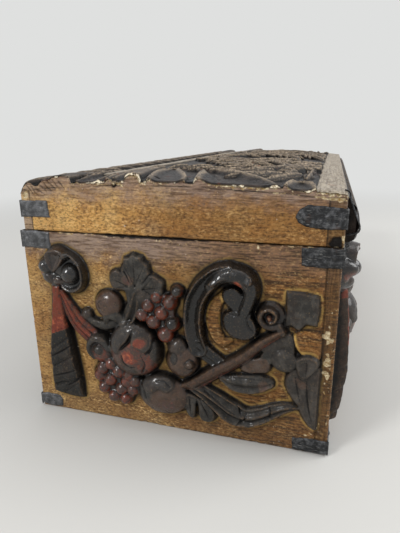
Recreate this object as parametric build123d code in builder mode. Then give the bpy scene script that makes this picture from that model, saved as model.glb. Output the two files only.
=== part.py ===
from build123d import *

import os
from collections import namedtuple
from math import cos, hypot, pi, radians, sin, sqrt

# Carved and painted table cassone. The origin is the centre of the underside, +X runs along
# the length, -Y is the front, +Y is the hinged rear. All sizes are in millimetres.

# ---------------------------------------------------------------- driving dimensions
LENGTH = 550.0              # carcase, end to end
DEPTH = 230.0               # carcase, front to rear
BODY_HEIGHT = 150.0         # underside to rim
LONG_BOARD = 10.0           # front and rear boards, which run the full length
END_BOARD = 12.0            # end boards, held between the long boards
BOTTOM_BOARD = 10.0         # bottom, let in between the four walls

LID_INSET = 2.5             # the lid's rear face stands this far inside the chest's rear face
FRONT_RAIL = 10.0
REAR_RAIL = 8.0
END_RAIL = 12.0
CROWN_REAR = 29.5           # height of the rails above the rim at the rear edge,
CROWN_MIDDLE = 35.0         # at the middle
CROWN_FRONT = 29.0          # and at the front edge
TOP_BOARD = 4.5             # thickness of the lid's top board
TOP_REAR_ROUND = 3.0        # rounded rear edge of the top board

MOULDING_START = 12.0       # the lid moulding stops this far short of the ends
MOULDING_DEPTH = 8.6        # how far the lid moulding stands out at its fullest
MOULDING_TOP_DEPTH = 4.0    # and where it meets its upper bevel

ROPE_OFFSET = 15.0          # rope border: centre line from the chest's rear face
ROPE_WIDTH = 14.0
ROPE_RISE = 4.0
FILLET_OFFSET = 50.0        # plain fillet between the rope border and the foliage
FILLET_WIDTH = 9.0
FILLET_RISE = 1.2

STRAP = 1.0                 # thickness of the iron straps
NAIL_RADIUS = 1.8
NAIL_RISE = 1.0

HINGE_SPACING = 300.0       # between the two hinges
LEAF_WIDTH = 30.0
LOWER_LEAF_DROP = 34.0      # lower leaf, from the rim down
UPPER_LEAF_RISE = 20.0      # upper leaf, from the rim up
LEAF_THICKNESS = 1.5
PIN_RADIUS = 1.3
PIN_CLEARANCE = 0.05        # running clearance of the pin in the knuckles
KNUCKLE_RADIUS = 2.8
KNUCKLE_GAP = 0.4           # between neighbouring knuckles
LEAF_LIFT = 1.0             # the upper leaf starts this far above the rim

BAND_OFFSET = 8.0           # thin iron band over the lid moulding: from the left end,
BAND_WIDTH = 3.0
BAND_THICKNESS = 1.2

CENTRE_ORNAMENT = 64.0      # middle of the front, between the two mirrored sets
FRONT_GROWTH = 1.055        # the front's carving is this much taller than the ends'
FRONT_RELIEF = 1.25         # and stands out this much more

# The carving's drawing: every carved set is laid out on a field of this size,
# which is then stretched to the panel that carries it.
DRAWING_WIDTH = 230.0
DRAWING_HEIGHT = 150.0

RIM = BODY_HEIGHT
LEFT_X = -LENGTH / 2
FRONT_Y = -DEPTH / 2
REAR_Y = DEPTH / 2
LID_REAR_Y = REAR_Y - LID_INSET
HINGE_Y = REAR_Y + KNUCKLE_RADIUS + 0.2
INNER_DEPTH = DEPTH - 2 * LONG_BOARD

LEFT_FACE = Plane(origin=(LEFT_X, REAR_Y, 0), x_dir=(0, -1, 0), z_dir=(-1, 0, 0))
FRONT_FACE = Plane(origin=(LEFT_X, FRONT_Y, 0), x_dir=(1, 0, 0), z_dir=(0, -1, 0))
FRONT_CENTRE = Plane(origin=(0, FRONT_Y, 0), x_dir=(1, 0, 0), z_dir=(0, -1, 0))
REAR_FACE = Plane(origin=(-LEFT_X, REAR_Y, 0), x_dir=(-1, 0, 0), z_dir=(0, 1, 0))
LID_REAR_FACE = Plane(origin=(-LEFT_X, LID_REAR_Y, 0), x_dir=(-1, 0, 0), z_dir=(0, 1, 0))

os.makedirs("parts", exist_ok=True)


def finish(piece, node):
    """Name a finished piece and write it."""
    piece.part.label = node
    export_step(piece.part, f"parts/{node}.step")


# ---------------------------------------------------------------- chest boards
def board(x_low, x_high, y_low, y_high, z_low, z_high, mode=Mode.ADD):
    """A plain board between two corners, added or taken away."""
    with BuildSketch(Plane.XY.offset(z_low)) as outline:
        with Locations(((x_low + x_high) / 2, (y_low + y_high) / 2)):
            Rectangle(x_high - x_low, y_high - y_low)
    extrude(outline.sketch, amount=z_high - z_low, mode=mode)


# ---------------------------------------------------------------- carving tools
# A panel carries the drawing on a plane, stretched to a width and a height; its relief
# multiplies how far every form stands out.
Panel = namedtuple("Panel", "plane width height relief")


def place(panel, across, up):
    """A point of the carving's drawing, stretched to the panel."""
    return across * panel.width / DRAWING_WIDTH, up * panel.height / DRAWING_HEIGHT


def flat_face(*corners):
    """A flat facet between corners."""
    return Face(Wire.make_polygon(corners, close=True))


def faceted(rings, similar):
    """Close a row of rings with flat facets: four-sided where the rings are similar shapes on
    parallel planes, triangles where they turn. Sewn by hand, because a loft's facets are
    spline surfaces, which mesh many times finer."""
    facets = [flat_face(*rings[0]), flat_face(*rings[-1])]
    for lower, upper in zip(rings, rings[1:]):
        for side in range(len(lower)):
            if similar:
                facets.append(flat_face(lower[side - 1], lower[side], upper[side], upper[side - 1]))
            else:
                facets.append(flat_face(lower[side - 1], lower[side], upper[side]))
                facets.append(flat_face(lower[side - 1], upper[side], upper[side - 1]))
    add(Solid(Shell(facets)))


CROWN_SLOPE = {1: radians(50), 2: radians(68), 3: radians(72)}     # by a dome's count of tiers


def dome(panel, across, up, half_width, half_height, rise, sides=6, tiers=2):
    """A faceted boss in tiers that close in towards its crown: a ball, berry, fruit or lobe."""
    centre_x, centre_y = place(panel, across, up)
    rings = []
    for tier in range(tiers + 1):
        slope = tier / tiers * CROWN_SLOPE[tiers]
        lift = rise * panel.relief * sin(slope) / sin(CROWN_SLOPE[tiers])
        ring = []
        for side in range(sides):
            turn = 2 * pi * side / sides
            ring.append(panel.plane.from_local_coords((
                centre_x + half_width * cos(slope) * cos(turn),
                centre_y + half_height * cos(slope) * sin(turn),
                lift,
            )))
        rings.append(ring)
    faceted(rings, similar=True)


# The section of a carved strip, as shares of its half width and of its rise.
STRIP_SECTION = ((1, 0), (0.78, 0.68), (0, 1), (-0.78, 0.68), (-1, 0))


def band(panel, stations):
    """A crowned strip carved along a line of stations (across, up, half_width, rise)."""
    outward = panel.plane.z_dir
    spots = []
    for across, up, half_width, rise in stations:
        spots.append(panel.plane.from_local_coords((*place(panel, across, up), 0)))
    last = len(spots) - 1
    rings = []
    for index, (across, up, half_width, rise) in enumerate(stations):
        along = (spots[min(index + 1, last)] - spots[max(index - 1, 0)]).normalized()
        sideways = outward.cross(along)
        ring = []
        for width_share, rise_share in STRIP_SECTION:
            lift = rise * panel.relief * rise_share
            ring.append(spots[index] + sideways * (half_width * width_share) + outward * lift)
        rings.append(ring)
    faceted(rings, similar=False)


# ---------------------------------------------------------------- carved motifs
def carve_rosette(panel):
    """Leaf rosette: centre boss, three balls, a fan petal and a curled outer leaf."""
    dome(panel, 29.5, 121.5, 10, 9, 7)
    dome(panel, 19.7, 126.2, 5.4, 5.4, 9)
    dome(panel, 19.9, 116.0, 4.9, 4.9, 8)
    dome(panel, 33.0, 115.0, 6.0, 5.0, 8)
    dome(panel, 40.5, 121.7, 6.8, 6.8, 12, sides=8)
    band(panel, [(30.5, 122, 3, 8), (31.4, 131, 6.5, 9), (31.8, 138.5, 6, 6)])
    band(panel, [
        (42, 136, 2.4, 8), (51.5, 131, 2.9, 9), (56, 120, 3.0, 9),
        (51, 109.5, 2.8, 8), (43, 107, 2.4, 7), (35, 110, 2.0, 6),
    ])


DRAPERY_CUTS = [
    # up, left foot, left edge of the face, right edge of the face, right foot, rise
    (108.0, 25.0, 27.0, 32.5, 34.0, 4.5),
    (79.0, 21.5, 25.0, 37.0, 38.5, 7.5),
    (54.0, 18.0, 21.5, 40.5, 42.5, 8.0),
    (30.0, 16.4, 20.5, 43.5, 45.5, 5.5),
    (19.0, 16.4, 20.5, 44.0, 45.5, 3.5),
]


def carve_drapery(panel):
    """Hanging cloth with bevelled sides, stepped by slanting folds."""
    rings = []
    for up, left_foot, left_edge, right_edge, right_foot, rise in DRAPERY_CUTS:
        ring = []
        for across, lift in ((left_foot, 0), (left_edge, rise), (right_edge, rise), (right_foot, 0)):
            ring.append(panel.plane.from_local_coords((*place(panel, across, up), lift * panel.relief)))
        rings.append(ring)
    faceted(rings, similar=False)


RIBBON_UPPER = [(31.0, 107.0), (36.4, 101.5), (40.5, 93.5), (47.0, 86.0), (57.0, 77.5)]
RIBBON_LOWER = [(30.0, 102.0), (34.0, 90.0), (38.8, 79.0), (44.5, 71.5), (53.0, 65.0)]
RIBBON_STRANDS = 3
RIBBON_RISE = 4.5


def carve_ribbon(panel):
    """Ribbon in three parallel strands that fans out from the rosette to the fruit."""
    for strand in range(RIBBON_STRANDS):
        share = (strand + 0.5) / RIBBON_STRANDS
        stations = []
        for upper, lower in zip(RIBBON_UPPER, RIBBON_LOWER):
            across = lower[0] + share * (upper[0] - lower[0])
            up = lower[1] + share * (upper[1] - lower[1])
            spread = hypot(upper[0] - lower[0], upper[1] - lower[1])
            stations.append((across, up, 0.52 * spread / RIBBON_STRANDS, RIBBON_RISE))
        band(panel, stations)


def carve_fruit(panel):
    """Fruit of the swag, the pomegranate standing highest."""
    dome(panel, 70.8, 102.6, 11.2, 11.2, 9, sides=8)
    dome(panel, 54.1, 92.8, 4.3, 4.3, 5)
    dome(panel, 63.2, 66.5, 10.0, 10.5, 9)
    dome(panel, 63.2, 73.8, 7.8, 7.0, 11)
    dome(panel, 96.2, 64.0, 19.3, 18.4, 14, sides=9, tiers=3)
    dome(panel, 84.5, 78.5, 9.5, 8.5, 17)
    dome(panel, 99.5, 79.0, 8.0, 8.5, 17.5)
    dome(panel, 110.5, 74.0, 6.5, 9.0, 13)
    dome(panel, 127.5, 62.0, 11.2, 11.2, 9, sides=8)
    dome(panel, 125.0, 73.0, 8.0, 8.0, 8)
    dome(panel, 112.5, 34.4, 18.0, 14.6, 11, sides=9, tiers=3)
    dome(panel, 111.0, 46.0, 10.5, 6.5, 10)


UPPER_GRAPES = [
    (124.9, 115.3, 4.1), (110.0, 109.7, 4.0), (119.6, 106.8, 4.7), (103.4, 103.0, 4.5),
    (113.4, 98.6, 4.9), (98.6, 95.3, 4.5), (107.2, 91.0, 5.1), (121.1, 91.0, 5.0), (115.8, 82.4, 5.7),
]
LOWER_GRAPES = [
    (63.2, 47.8, 4.7), (60.3, 41.9, 4.7), (70.4, 52.7, 4.7), (76.6, 46.8, 4.8), (69.4, 39.0, 4.9),
    (63.5, 31.7, 4.7), (85.0, 45.8, 4.7), (83.1, 40.0, 4.7), (78.2, 32.6, 4.8), (71.3, 25.0, 4.6),
    (87.5, 33.0, 4.5), (81.1, 24.0, 4.4), (90.0, 40.5, 4.4),
]
GRAPE_RISE = 4.0            # a grape stands out by its radius and this


def carve_grapes(panel):
    """Two bunches of grapes, one above and one below the pomegranate."""
    for across, up, radius in UPPER_GRAPES + LOWER_GRAPES:
        dome(panel, across, up, radius, radius, radius + GRAPE_RISE, sides=5, tiers=1)


def carve_scroll(panel):
    """The C-scroll: a broad crowned strip that rises, turns over and curls into two lobes."""
    band(panel, [
        (138.5, 72, 5.5, 5), (135.2, 87, 6.8, 8.5), (135.8, 104, 7.3, 9.5), (143.5, 121, 7.5, 10),
        (153, 128.5, 7.4, 11), (164, 131.5, 6.9, 11.5), (172, 127.5, 6.2, 11), (174, 117, 5.0, 10),
        (167, 101, 4.4, 8),
    ])
    band(panel, [(138.5, 73, 5.8, 4), (147, 66.5, 6.0, 4), (155, 61.5, 5.0, 4)])
    dome(panel, 161.3, 114.0, 6.3, 6.3, 6)
    dome(panel, 165.2, 95.7, 9.6, 9.2, 8)


VOLUTE_CENTRE = (187.1, 105.1)
VOLUTE_OUTER = 9.2
VOLUTE_INNER = 1.8
VOLUTE_TURNS = 1.35
VOLUTE_STATIONS = 11
VOLUTE_START = -50.0        # degrees


def carve_stem(panel):
    """The stem, which crosses the panel and ends in a volute."""
    band(panel, [
        (124, 38, 3.0, 4), (134.3, 44.2, 4.4, 6), (150.7, 57, 4.3, 6.5),
        (169.9, 70.4, 4.0, 6.5), (183.3, 83.8, 3.6, 6), (194, 92, 3.0, 6),
    ])
    stations = []
    for step in range(VOLUTE_STATIONS):
        share = step / (VOLUTE_STATIONS - 1)
        angle = radians(VOLUTE_START - 360 * VOLUTE_TURNS * share)
        radius = VOLUTE_OUTER + (VOLUTE_INNER - VOLUTE_OUTER) * share
        across = VOLUTE_CENTRE[0] + radius * cos(angle)
        up = VOLUTE_CENTRE[1] + radius * sin(angle)
        stations.append((across, up, 2.4 - 0.9 * share, 6 + 2 * share))
    band(panel, stations)


def carve_foliage(panel):
    """Leaves: the vine leaf, the flat leaves by the front edge and the acanthus below."""
    dome(panel, 92, 129, 11.0, 11.2, 4.5, tiers=1)
    dome(panel, 78, 122, 6.8, 8.0, 4, tiers=1)
    dome(panel, 105, 119, 8.5, 7.6, 4, tiers=1)
    band(panel, [(92, 128, 8, 4.5), (92.5, 112, 9, 5), (93.4, 99, 4, 4)])
    dome(panel, 76, 92.5, 7.5, 5.5, 7.5)
    dome(panel, 206.7, 107.5, 11.0, 12.0, 2.5, tiers=1)
    dome(panel, 192.3, 80.5, 9.0, 6.0, 3, tiers=1)
    dome(panel, 198.5, 71.2, 8.3, 8.0, 4, tiers=1)
    dome(panel, 206.0, 48.0, 6.5, 11.0, 3, tiers=1)
    band(panel, [
        (212, 69, 5, 3), (213.5, 56, 7.8, 4), (214, 40, 7.6, 4), (218, 27, 4.0, 3), (220.5, 20, 1.0, 2),
    ])
    dome(panel, 180.1, 65.0, 9.5, 7.5, 3.5, tiers=1)
    dome(panel, 173.3, 50.5, 15.0, 8.2, 4.5, tiers=1)
    band(panel, [
        (129, 40, 2.0, 4), (140, 36, 5.5, 6), (150, 33, 8.5, 7), (160, 28.5, 8.7, 7), (170, 25, 7.8, 6),
        (184, 28.5, 6.8, 5.5), (198, 35, 4.6, 4.5), (208, 36.5, 1.2, 2.5),
    ])
    band(panel, [(128.5, 38, 2, 4), (131.5, 28, 4, 5), (134, 19.5, 3.5, 3)])
    band(panel, [(131, 38, 2, 4), (138.5, 28, 5, 5), (145.5, 19.5, 4, 3)])


def carve_ground(panel):
    """Low relief left in the ground's own colour: the inner C-strip and the round leaf."""
    band(panel, [
        (156, 113, 3.0, 2.5), (149.8, 105, 4.6, 2.5), (147.8, 96, 5.0, 2.5),
        (149.5, 86, 4.6, 2.5), (154.5, 79, 3.8, 2.5), (159.5, 79.5, 2.4, 2.5),
    ])
    dome(panel, 212.0, 84.0, 9.9, 11.0, 3, tiers=1)


ORNAMENT_UP = 112.0         # centre rosette of the front, above the underside
ORNAMENT_RING = 13.0
ORNAMENT_PETALS = 8


def carve_centre_rosette(panel):
    """Round rosette at the middle of the front."""
    dome(panel, 0, ORNAMENT_UP, 8.0, 8.0, 10, sides=8)
    for petal in range(ORNAMENT_PETALS):
        angle = 2 * pi * petal / ORNAMENT_PETALS
        across = ORNAMENT_RING * cos(angle)
        up = ORNAMENT_UP + ORNAMENT_RING * sin(angle)
        dome(panel, across, up, 6.0, 6.0, 7, tiers=1)


def carve_centre_drapery(panel):
    """Short cloth that hangs from the centre rosette."""
    band(panel, [(0, 92, 6, 5), (0, 75, 11, 8), (0, 50, 14, 8), (0, 30, 16, 5), (0, 20, 16, 3)])


LEFT_END = Panel(LEFT_FACE, DEPTH, BODY_HEIGHT, 1.0)
FRONT_LEFT = Panel(FRONT_FACE, (LENGTH - CENTRE_ORNAMENT) / 2, BODY_HEIGHT * FRONT_GROWTH, FRONT_RELIEF)
FRONT_MIDDLE = Panel(FRONT_CENTRE, DRAWING_WIDTH, BODY_HEIGHT, FRONT_RELIEF)

# Each motif: how it is carved, what is carved at the middle of the front, and the motifs
# that stand over it, which it stops against.
MOTIFS = {
    "rosette": (carve_rosette, carve_centre_rosette, ()),
    "drapery": (carve_drapery, carve_centre_drapery, ("rosette",)),
    "fruit": (carve_fruit, None, ()),
    "ribbon": (carve_ribbon, None, ("rosette", "drapery", "fruit")),
    "grapes": (carve_grapes, None, ("fruit",)),
    "stem": (carve_stem, None, ("fruit",)),
    "scroll": (carve_scroll, None, ("fruit", "stem")),
    "foliage": (carve_foliage, None, ("fruit", "grapes", "stem", "scroll")),
    "ground": (carve_ground, None, ("scroll", "stem", "foliage")),
}

left_carvings = {}
front_carvings = {}
for panel, carvings in ((LEFT_END, left_carvings), (FRONT_LEFT, front_carvings)):
    for motif, (carve, carve_centre, standing_over) in MOTIFS.items():
        with BuildPart() as carving:
            carve(panel)
            for other in standing_over:
                add(carvings[other].part, mode=Mode.SUBTRACT)
        carvings[motif] = carving

for motif, (carve, carve_centre, standing_over) in MOTIFS.items():
    if motif == "ground":
        continue
    finish(left_carvings[motif], f"left_{motif}")
    with BuildPart() as right_carving:
        mirror(left_carvings[motif].part, about=Plane.YZ)
    finish(right_carving, f"right_{motif}")
    with BuildPart() as front_carving:
        add(front_carvings[motif].part)
        mirror(front_carvings[motif].part, about=Plane.YZ)
        if carve_centre:
            carve_centre(FRONT_MIDDLE)
    finish(front_carving, f"front_{motif}")

# ---------------------------------------------------------------- chest carcase
with BuildPart() as front_board:
    add(front_carvings["ground"].part)
    mirror(front_carvings["ground"].part, about=Plane.YZ)
    board(LEFT_X, -LEFT_X, FRONT_Y, FRONT_Y + LONG_BOARD, 0, RIM)
finish(front_board, "front_board")

with BuildPart() as rear_board:
    board(LEFT_X, -LEFT_X, REAR_Y - LONG_BOARD, REAR_Y, 0, RIM)
finish(rear_board, "rear_board")

with BuildPart() as left_end_board:
    board(LEFT_X, LEFT_X + END_BOARD, -INNER_DEPTH / 2, INNER_DEPTH / 2, 0, RIM)
    add(left_carvings["ground"].part)
finish(left_end_board, "left_end_board")

with BuildPart() as right_end_board:
    mirror(left_end_board.part, about=Plane.YZ)
finish(right_end_board, "right_end_board")

with BuildPart() as bottom_board:
    board(LEFT_X + END_BOARD, -LEFT_X - END_BOARD, -INNER_DEPTH / 2, INNER_DEPTH / 2, 0, BOTTOM_BOARD)
finish(bottom_board, "bottom_board")

# ---------------------------------------------------------------- lid
LID_MIDDLE_Y = (LID_REAR_Y + FRONT_Y) / 2
CROWN = Edge.make_three_point_arc(
    (LID_REAR_Y, RIM + CROWN_REAR),
    (LID_MIDDLE_Y, RIM + CROWN_MIDDLE),
    (FRONT_Y, RIM + CROWN_FRONT),
)
CROWN_CENTRE = CROWN.arc_center
CROWN_RADIUS = CROWN.radius


def crown_height(y, raised=0.0):
    """Height of the crown line at a depth, or of the line raised square to it."""
    return CROWN_CENTRE.Y + sqrt((CROWN_RADIUS + raised) ** 2 - (y - CROWN_CENTRE.X) ** 2)


def crown_arc(raised):
    """The crown line over the lid's whole depth, from the rear to the front."""
    return ThreePointArc(
        (LID_REAR_Y, crown_height(LID_REAR_Y, raised)),
        (LID_MIDDLE_Y, crown_height(LID_MIDDLE_Y, raised)),
        (FRONT_Y, crown_height(FRONT_Y, raised)),
    )


def lid_block(x_low, x_high, y_low, y_high):
    """Wood below the crown line, cut to a length and a depth."""
    with BuildSketch(Plane.YZ.offset(x_low)) as block:
        with BuildLine():
            arc = crown_arc(0)
            Polyline(arc @ 1, (FRONT_Y, RIM), (LID_REAR_Y, RIM), arc @ 0)
        make_face()
        with Locations(((y_low + y_high) / 2, RIM + CROWN_MIDDLE / 2)):
            Rectangle(y_high - y_low, 2 * CROWN_MIDDLE, mode=Mode.INTERSECT)
    extrude(block.sketch, amount=x_high - x_low)


def lid_skin(x_low, x_high, low, high):
    """A layer between two lines raised above the crown, over the lid's whole depth."""
    with BuildSketch(Plane.YZ.offset(x_low)) as skin:
        with BuildLine():
            lower = crown_arc(low)
            upper = crown_arc(high)
            Line(lower @ 0, upper @ 0)
            Line(lower @ 1, upper @ 1)
        make_face()
    extrude(skin.sketch, amount=x_high - x_low)


with BuildPart() as lid_front_rail:
    lid_block(LEFT_X, -LEFT_X, FRONT_Y, FRONT_Y + FRONT_RAIL)
finish(lid_front_rail, "lid_front_rail")

with BuildPart() as lid_rear_rail:
    lid_block(LEFT_X, -LEFT_X, LID_REAR_Y - REAR_RAIL, LID_REAR_Y)
finish(lid_rear_rail, "lid_rear_rail")

with BuildPart() as lid_left_rail:
    lid_block(LEFT_X, LEFT_X + END_RAIL, FRONT_Y + FRONT_RAIL, LID_REAR_Y - REAR_RAIL)
finish(lid_left_rail, "lid_left_rail")

with BuildPart() as lid_right_rail:
    mirror(lid_left_rail.part, about=Plane.YZ)
finish(lid_right_rail, "lid_right_rail")

with BuildPart() as lid_top_board:
    lid_skin(LEFT_X, -LEFT_X, 0, TOP_BOARD)
    rear_edges = lid_top_board.edges().filter_by(Axis.X).group_by(Axis.Y)[-1]
    fillet(rear_edges.sort_by(Axis.Z)[-1], radius=TOP_REAR_ROUND)
    with BuildSketch(Plane.YZ.offset(LEFT_X)) as plain_fillet:
        fillet_y = REAR_Y - FILLET_OFFSET
        fillet_top = crown_height(fillet_y, TOP_BOARD + FILLET_RISE)
        with Locations((fillet_y, fillet_top - TOP_BOARD / 2)):
            Rectangle(FILLET_WIDTH, TOP_BOARD)
    extrude(plain_fillet.sketch, amount=LENGTH)
finish(lid_top_board, "lid_top_board")

with BuildPart() as lid_rope_border:
    rope_y = REAR_Y - ROPE_OFFSET
    with BuildSketch(Plane.YZ.offset(LEFT_X)) as rope:
        with Locations((rope_y, crown_height(rope_y, TOP_BOARD))):
            Polygon(
                (-ROPE_WIDTH / 2, -TOP_BOARD / 2), (ROPE_WIDTH / 2, -TOP_BOARD / 2), (ROPE_WIDTH / 2, 0),
                (ROPE_WIDTH / 4, 0.85 * ROPE_RISE), (0, ROPE_RISE),
                (-ROPE_WIDTH / 4, 0.85 * ROPE_RISE), (-ROPE_WIDTH / 2, 0),
            )
    extrude(rope.sketch, amount=LENGTH)
    add(lid_top_board.part, mode=Mode.SUBTRACT)
finish(lid_rope_border, "lid_rope_border")

with BuildPart() as lid_moulding:
    with BuildSketch(Plane.YZ.offset(LEFT_X + MOULDING_START)) as moulding:
        with BuildLine():
            swell = ThreePointArc(
                (FRONT_Y - 0.9 * MOULDING_DEPTH, RIM + 4),
                (FRONT_Y - MOULDING_DEPTH, RIM + CROWN_FRONT / 2),
                (FRONT_Y - MOULDING_TOP_DEPTH, RIM + CROWN_FRONT - 1),
            )
            Polyline(swell @ 0, (FRONT_Y - 0.6 * MOULDING_DEPTH, RIM + 1.5), (FRONT_Y, RIM + 1.5),
                     (FRONT_Y, RIM + CROWN_FRONT + TOP_BOARD / 2), swell @ 1)
        make_face()
    extrude(moulding.sketch, amount=LENGTH - 2 * MOULDING_START)
finish(lid_moulding, "lid_moulding")

# ---------------------------------------------------------------- lid foliage
# Drawn on the left half of the lid, along from its left end and across from its rear edge,
# and mirrored: leaves that the end cuts off, then one scroll with its stem, curl and leaves.
LID_SEAT = 0.4              # the foliage's flat facets stay this far above the curved top board
SCROLL_START = 140.0
SCROLL_LENGTH = 135.0
FIELD_MIDDLE = 131.75
FIELD_REAR = 59.0
FIELD_FRONT = 207.0
STEM_SWAY = 46.0
STEM_STATIONS = 5
STEM_HALF = 4.6
CURL_STATIONS = 7
CURL_TURN = 290.0           # degrees
CURL_RADIUS = 44.0
CURL_SHRINK = 0.66          # share of its radius that a curl loses over its turn
CURL_HALF = 8.4
CURL_SHIFT = 9.3            # a curl's centre lies this far from the middle of the field
FLOWER_RADIUS = 10.0
LEAVES_PER_SCROLL = 4
LEAF_REACH_LIMIT = 62.0
LEAF_REACH_LEAST = 26.0

# Sections of a hollow leaf and of a sharp ridge, as shares of half width and of rise.
BLADE_SECTION = ((1, 0), (0.78, 1), (0, 0.1), (-0.78, 1), (-1, 0))
RIDGE_SECTION = ((1, 0), (0, 1), (-1, 0))


def on_lid(along, across, lift=0.0):
    """A point of the lid's carving, lifted above the top board's surface."""
    y = LID_REAR_Y - across
    return Vector(LEFT_X + along, y, crown_height(y, TOP_BOARD) + LID_SEAT + lift)


def lid_band(stations, section=STRIP_SECTION):
    """A strip that follows the lid's curved top, along stations (along, across, half_width, rise)."""
    last = len(stations) - 1
    rings = []
    for index, (along, across, half_width, rise) in enumerate(stations):
        before = stations[max(index - 1, 0)]
        after = stations[min(index + 1, last)]
        forward = Vector(after[0] - before[0], after[1] - before[1]).normalized()
        ring = []
        for width_share, rise_share in section:
            step = half_width * width_share
            ring.append(on_lid(along + forward.Y * step, across - forward.X * step, rise * rise_share))
        rings.append(ring)
    faceted(rings, similar=False)


def stem_across(along):
    """Where the waving stem runs, across the lid."""
    share = (along - SCROLL_START) / SCROLL_LENGTH
    return FIELD_MIDDLE + STEM_SWAY * cos(pi * share)


def carve_end_leaves():
    """The leaves at the lid's end: ridges, and hollow blades that the end cuts off."""
    lid_band([(1, 34, 9, 4.4), (20, 33, 9, 4.2), (58, 27, 3.5, 2.4)])
    lid_band([(1, 90, 6, 4.4), (30, 82, 7, 3.6), (92, 72, 3, 2.4)])
    lid_band([(4, 74, 6, 1.8), (40, 68, 6.5, 2.6), (84, 63, 3, 2.2)], RIDGE_SECTION)
    lid_band([(1, 55, 9, 1.2), (22, 53, 9, 1.8), (62, 48, 3, 1.8)], BLADE_SECTION)
    lid_band([(1, 113, 13.5, 1.2), (40, 101, 12, 2.8), (94, 86, 3, 2.4)], BLADE_SECTION)
    lid_band([
        (1, 160, 26, 1.6), (28, 146, 19.5, 3.4), (50, 136, 12.5, 4.0), (96, 106, 2.6, 2.8),
    ], BLADE_SECTION)
    lid_band([(1, 199, 7.5, 1.8), (17, 199, 7, 3.2), (28, 198, 4, 2.8)], BLADE_SECTION)
    for along, across, turn, length, half_width in (
        (46, 158, 38, 34, 6.4), (62, 188, 20, 36, 6.2), (88, 158, 44, 34, 6.2), (84, 118, 62, 30, 5.6),
    ):
        half_along = cos(radians(turn)) * length / 2
        half_across = sin(radians(turn)) * length / 2
        lid_band([
            (along - half_along, across - half_across, 0.5 * half_width, 2.4),
            (along, across, half_width, 3.6),
            (along + half_along, across + half_across, 0.5 * half_width, 2.6),
        ], RIDGE_SECTION)


def carve_lid_leaf(along, side):
    """A long hollow leaf that leaves the stem towards the field's rear (-1) or front (+1) edge."""
    root = stem_across(along)
    edge = FIELD_REAR if side < 0 else FIELD_FRONT
    reach = edge - root
    if abs(reach) < LEAF_REACH_LEAST:
        return
    reach = max(-LEAF_REACH_LIMIT, min(LEAF_REACH_LIMIT, reach))
    lid_band([
        (along - 8, root + 0.22 * reach, 4.5, 3.2),
        (along + 14, root + 0.62 * reach, 9.2, 3.8),
        (along + 56, root + 0.97 * reach, 2.4, 2.2),
    ], BLADE_SECTION)


def carve_lid_scroll():
    """One scroll: its waving stem, its curl with a flower, and its leaves on both sides."""
    stem = []
    for step in range(STEM_STATIONS):
        along = SCROLL_START + step / (STEM_STATIONS - 1) * SCROLL_LENGTH
        stem.append((along, stem_across(along), STEM_HALF, 3.6))
    lid_band([(100, 160, STEM_HALF, 3.4), (120, 173, STEM_HALF, 3.6), *stem])
    centre_along = SCROLL_START + SCROLL_LENGTH / 2
    centre_across = FIELD_MIDDLE - CURL_SHIFT
    curl = []
    for step in range(CURL_STATIONS):
        share = step / (CURL_STATIONS - 1)
        angle = radians(90 + CURL_TURN * share)
        radius = CURL_RADIUS * (1 - CURL_SHRINK * share)
        along = centre_along + radius * cos(angle)
        across = centre_across + radius * sin(angle)
        curl.append((along, across, CURL_HALF * (1 - 0.45 * share), 3.6))
    lid_band(curl, BLADE_SECTION)
    seat = Plane(origin=on_lid(centre_along, centre_across), x_dir=(1, 0, 0), z_dir=(0, 0, 1))
    flower = Panel(seat, DRAWING_WIDTH, DRAWING_HEIGHT, 1.0)
    dome(flower, 0, 0, FLOWER_RADIUS, FLOWER_RADIUS, 4.0, sides=8)
    for leaf in range(LEAVES_PER_SCROLL):
        along = SCROLL_START + (leaf - 0.65) / LEAVES_PER_SCROLL * SCROLL_LENGTH
        for side in (-1, 1):
            carve_lid_leaf(along, side)


with BuildPart() as lid_foliage:
    carve_end_leaves()
    carve_lid_scroll()
    for outside in (LEFT_X - LENGTH, 0):
        board(outside, outside + LENGTH, -DEPTH, DEPTH, 0, 2 * BODY_HEIGHT, mode=Mode.SUBTRACT)
    half_fillet = FILLET_WIDTH / 2
    board(LEFT_X, 0, fillet_y - half_fillet, fillet_y + half_fillet, 0, fillet_top, mode=Mode.SUBTRACT)
    mirror(about=Plane.YZ)
finish(lid_foliage, "lid_foliage")

# ---------------------------------------------------------------- ironwork
# Each corner strap: height of its lower edge, its width, the reach of its leg over the end,
# the reach of its leg over the front or rear, and whether the end leg is cut to a point.
RIM_STRAP_WIDTH = 12.5
FOOT_STRAP_WIDTH = 11.0
FOOT_STRAP_LIFT = 1.0
LID_STRAP_LIFT = 11.0
LID_STRAP_WIDTH = 12.0
STRAP_POINT = 6.0           # length of the pointed end on the lid's front straps
FRONT_STRAP_LIFT = 1.0      # the lid's front straps sit this much higher than its rear ones
REACH_REAR = 23.5
REACH_LID_REAR = 22.5
REACH_FRONT = 24.5
REACH_FOOT = 20.0
REACH_LID_FRONT = 30.0
SIDE_REACH = 22.0
SIDE_REACH_FRONT_RIM = 11.0  # short, because the front's rosette starts beside it
SIDE_REACH_LID_FRONT = 6.5   # short, because the iron band starts beside it


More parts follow.
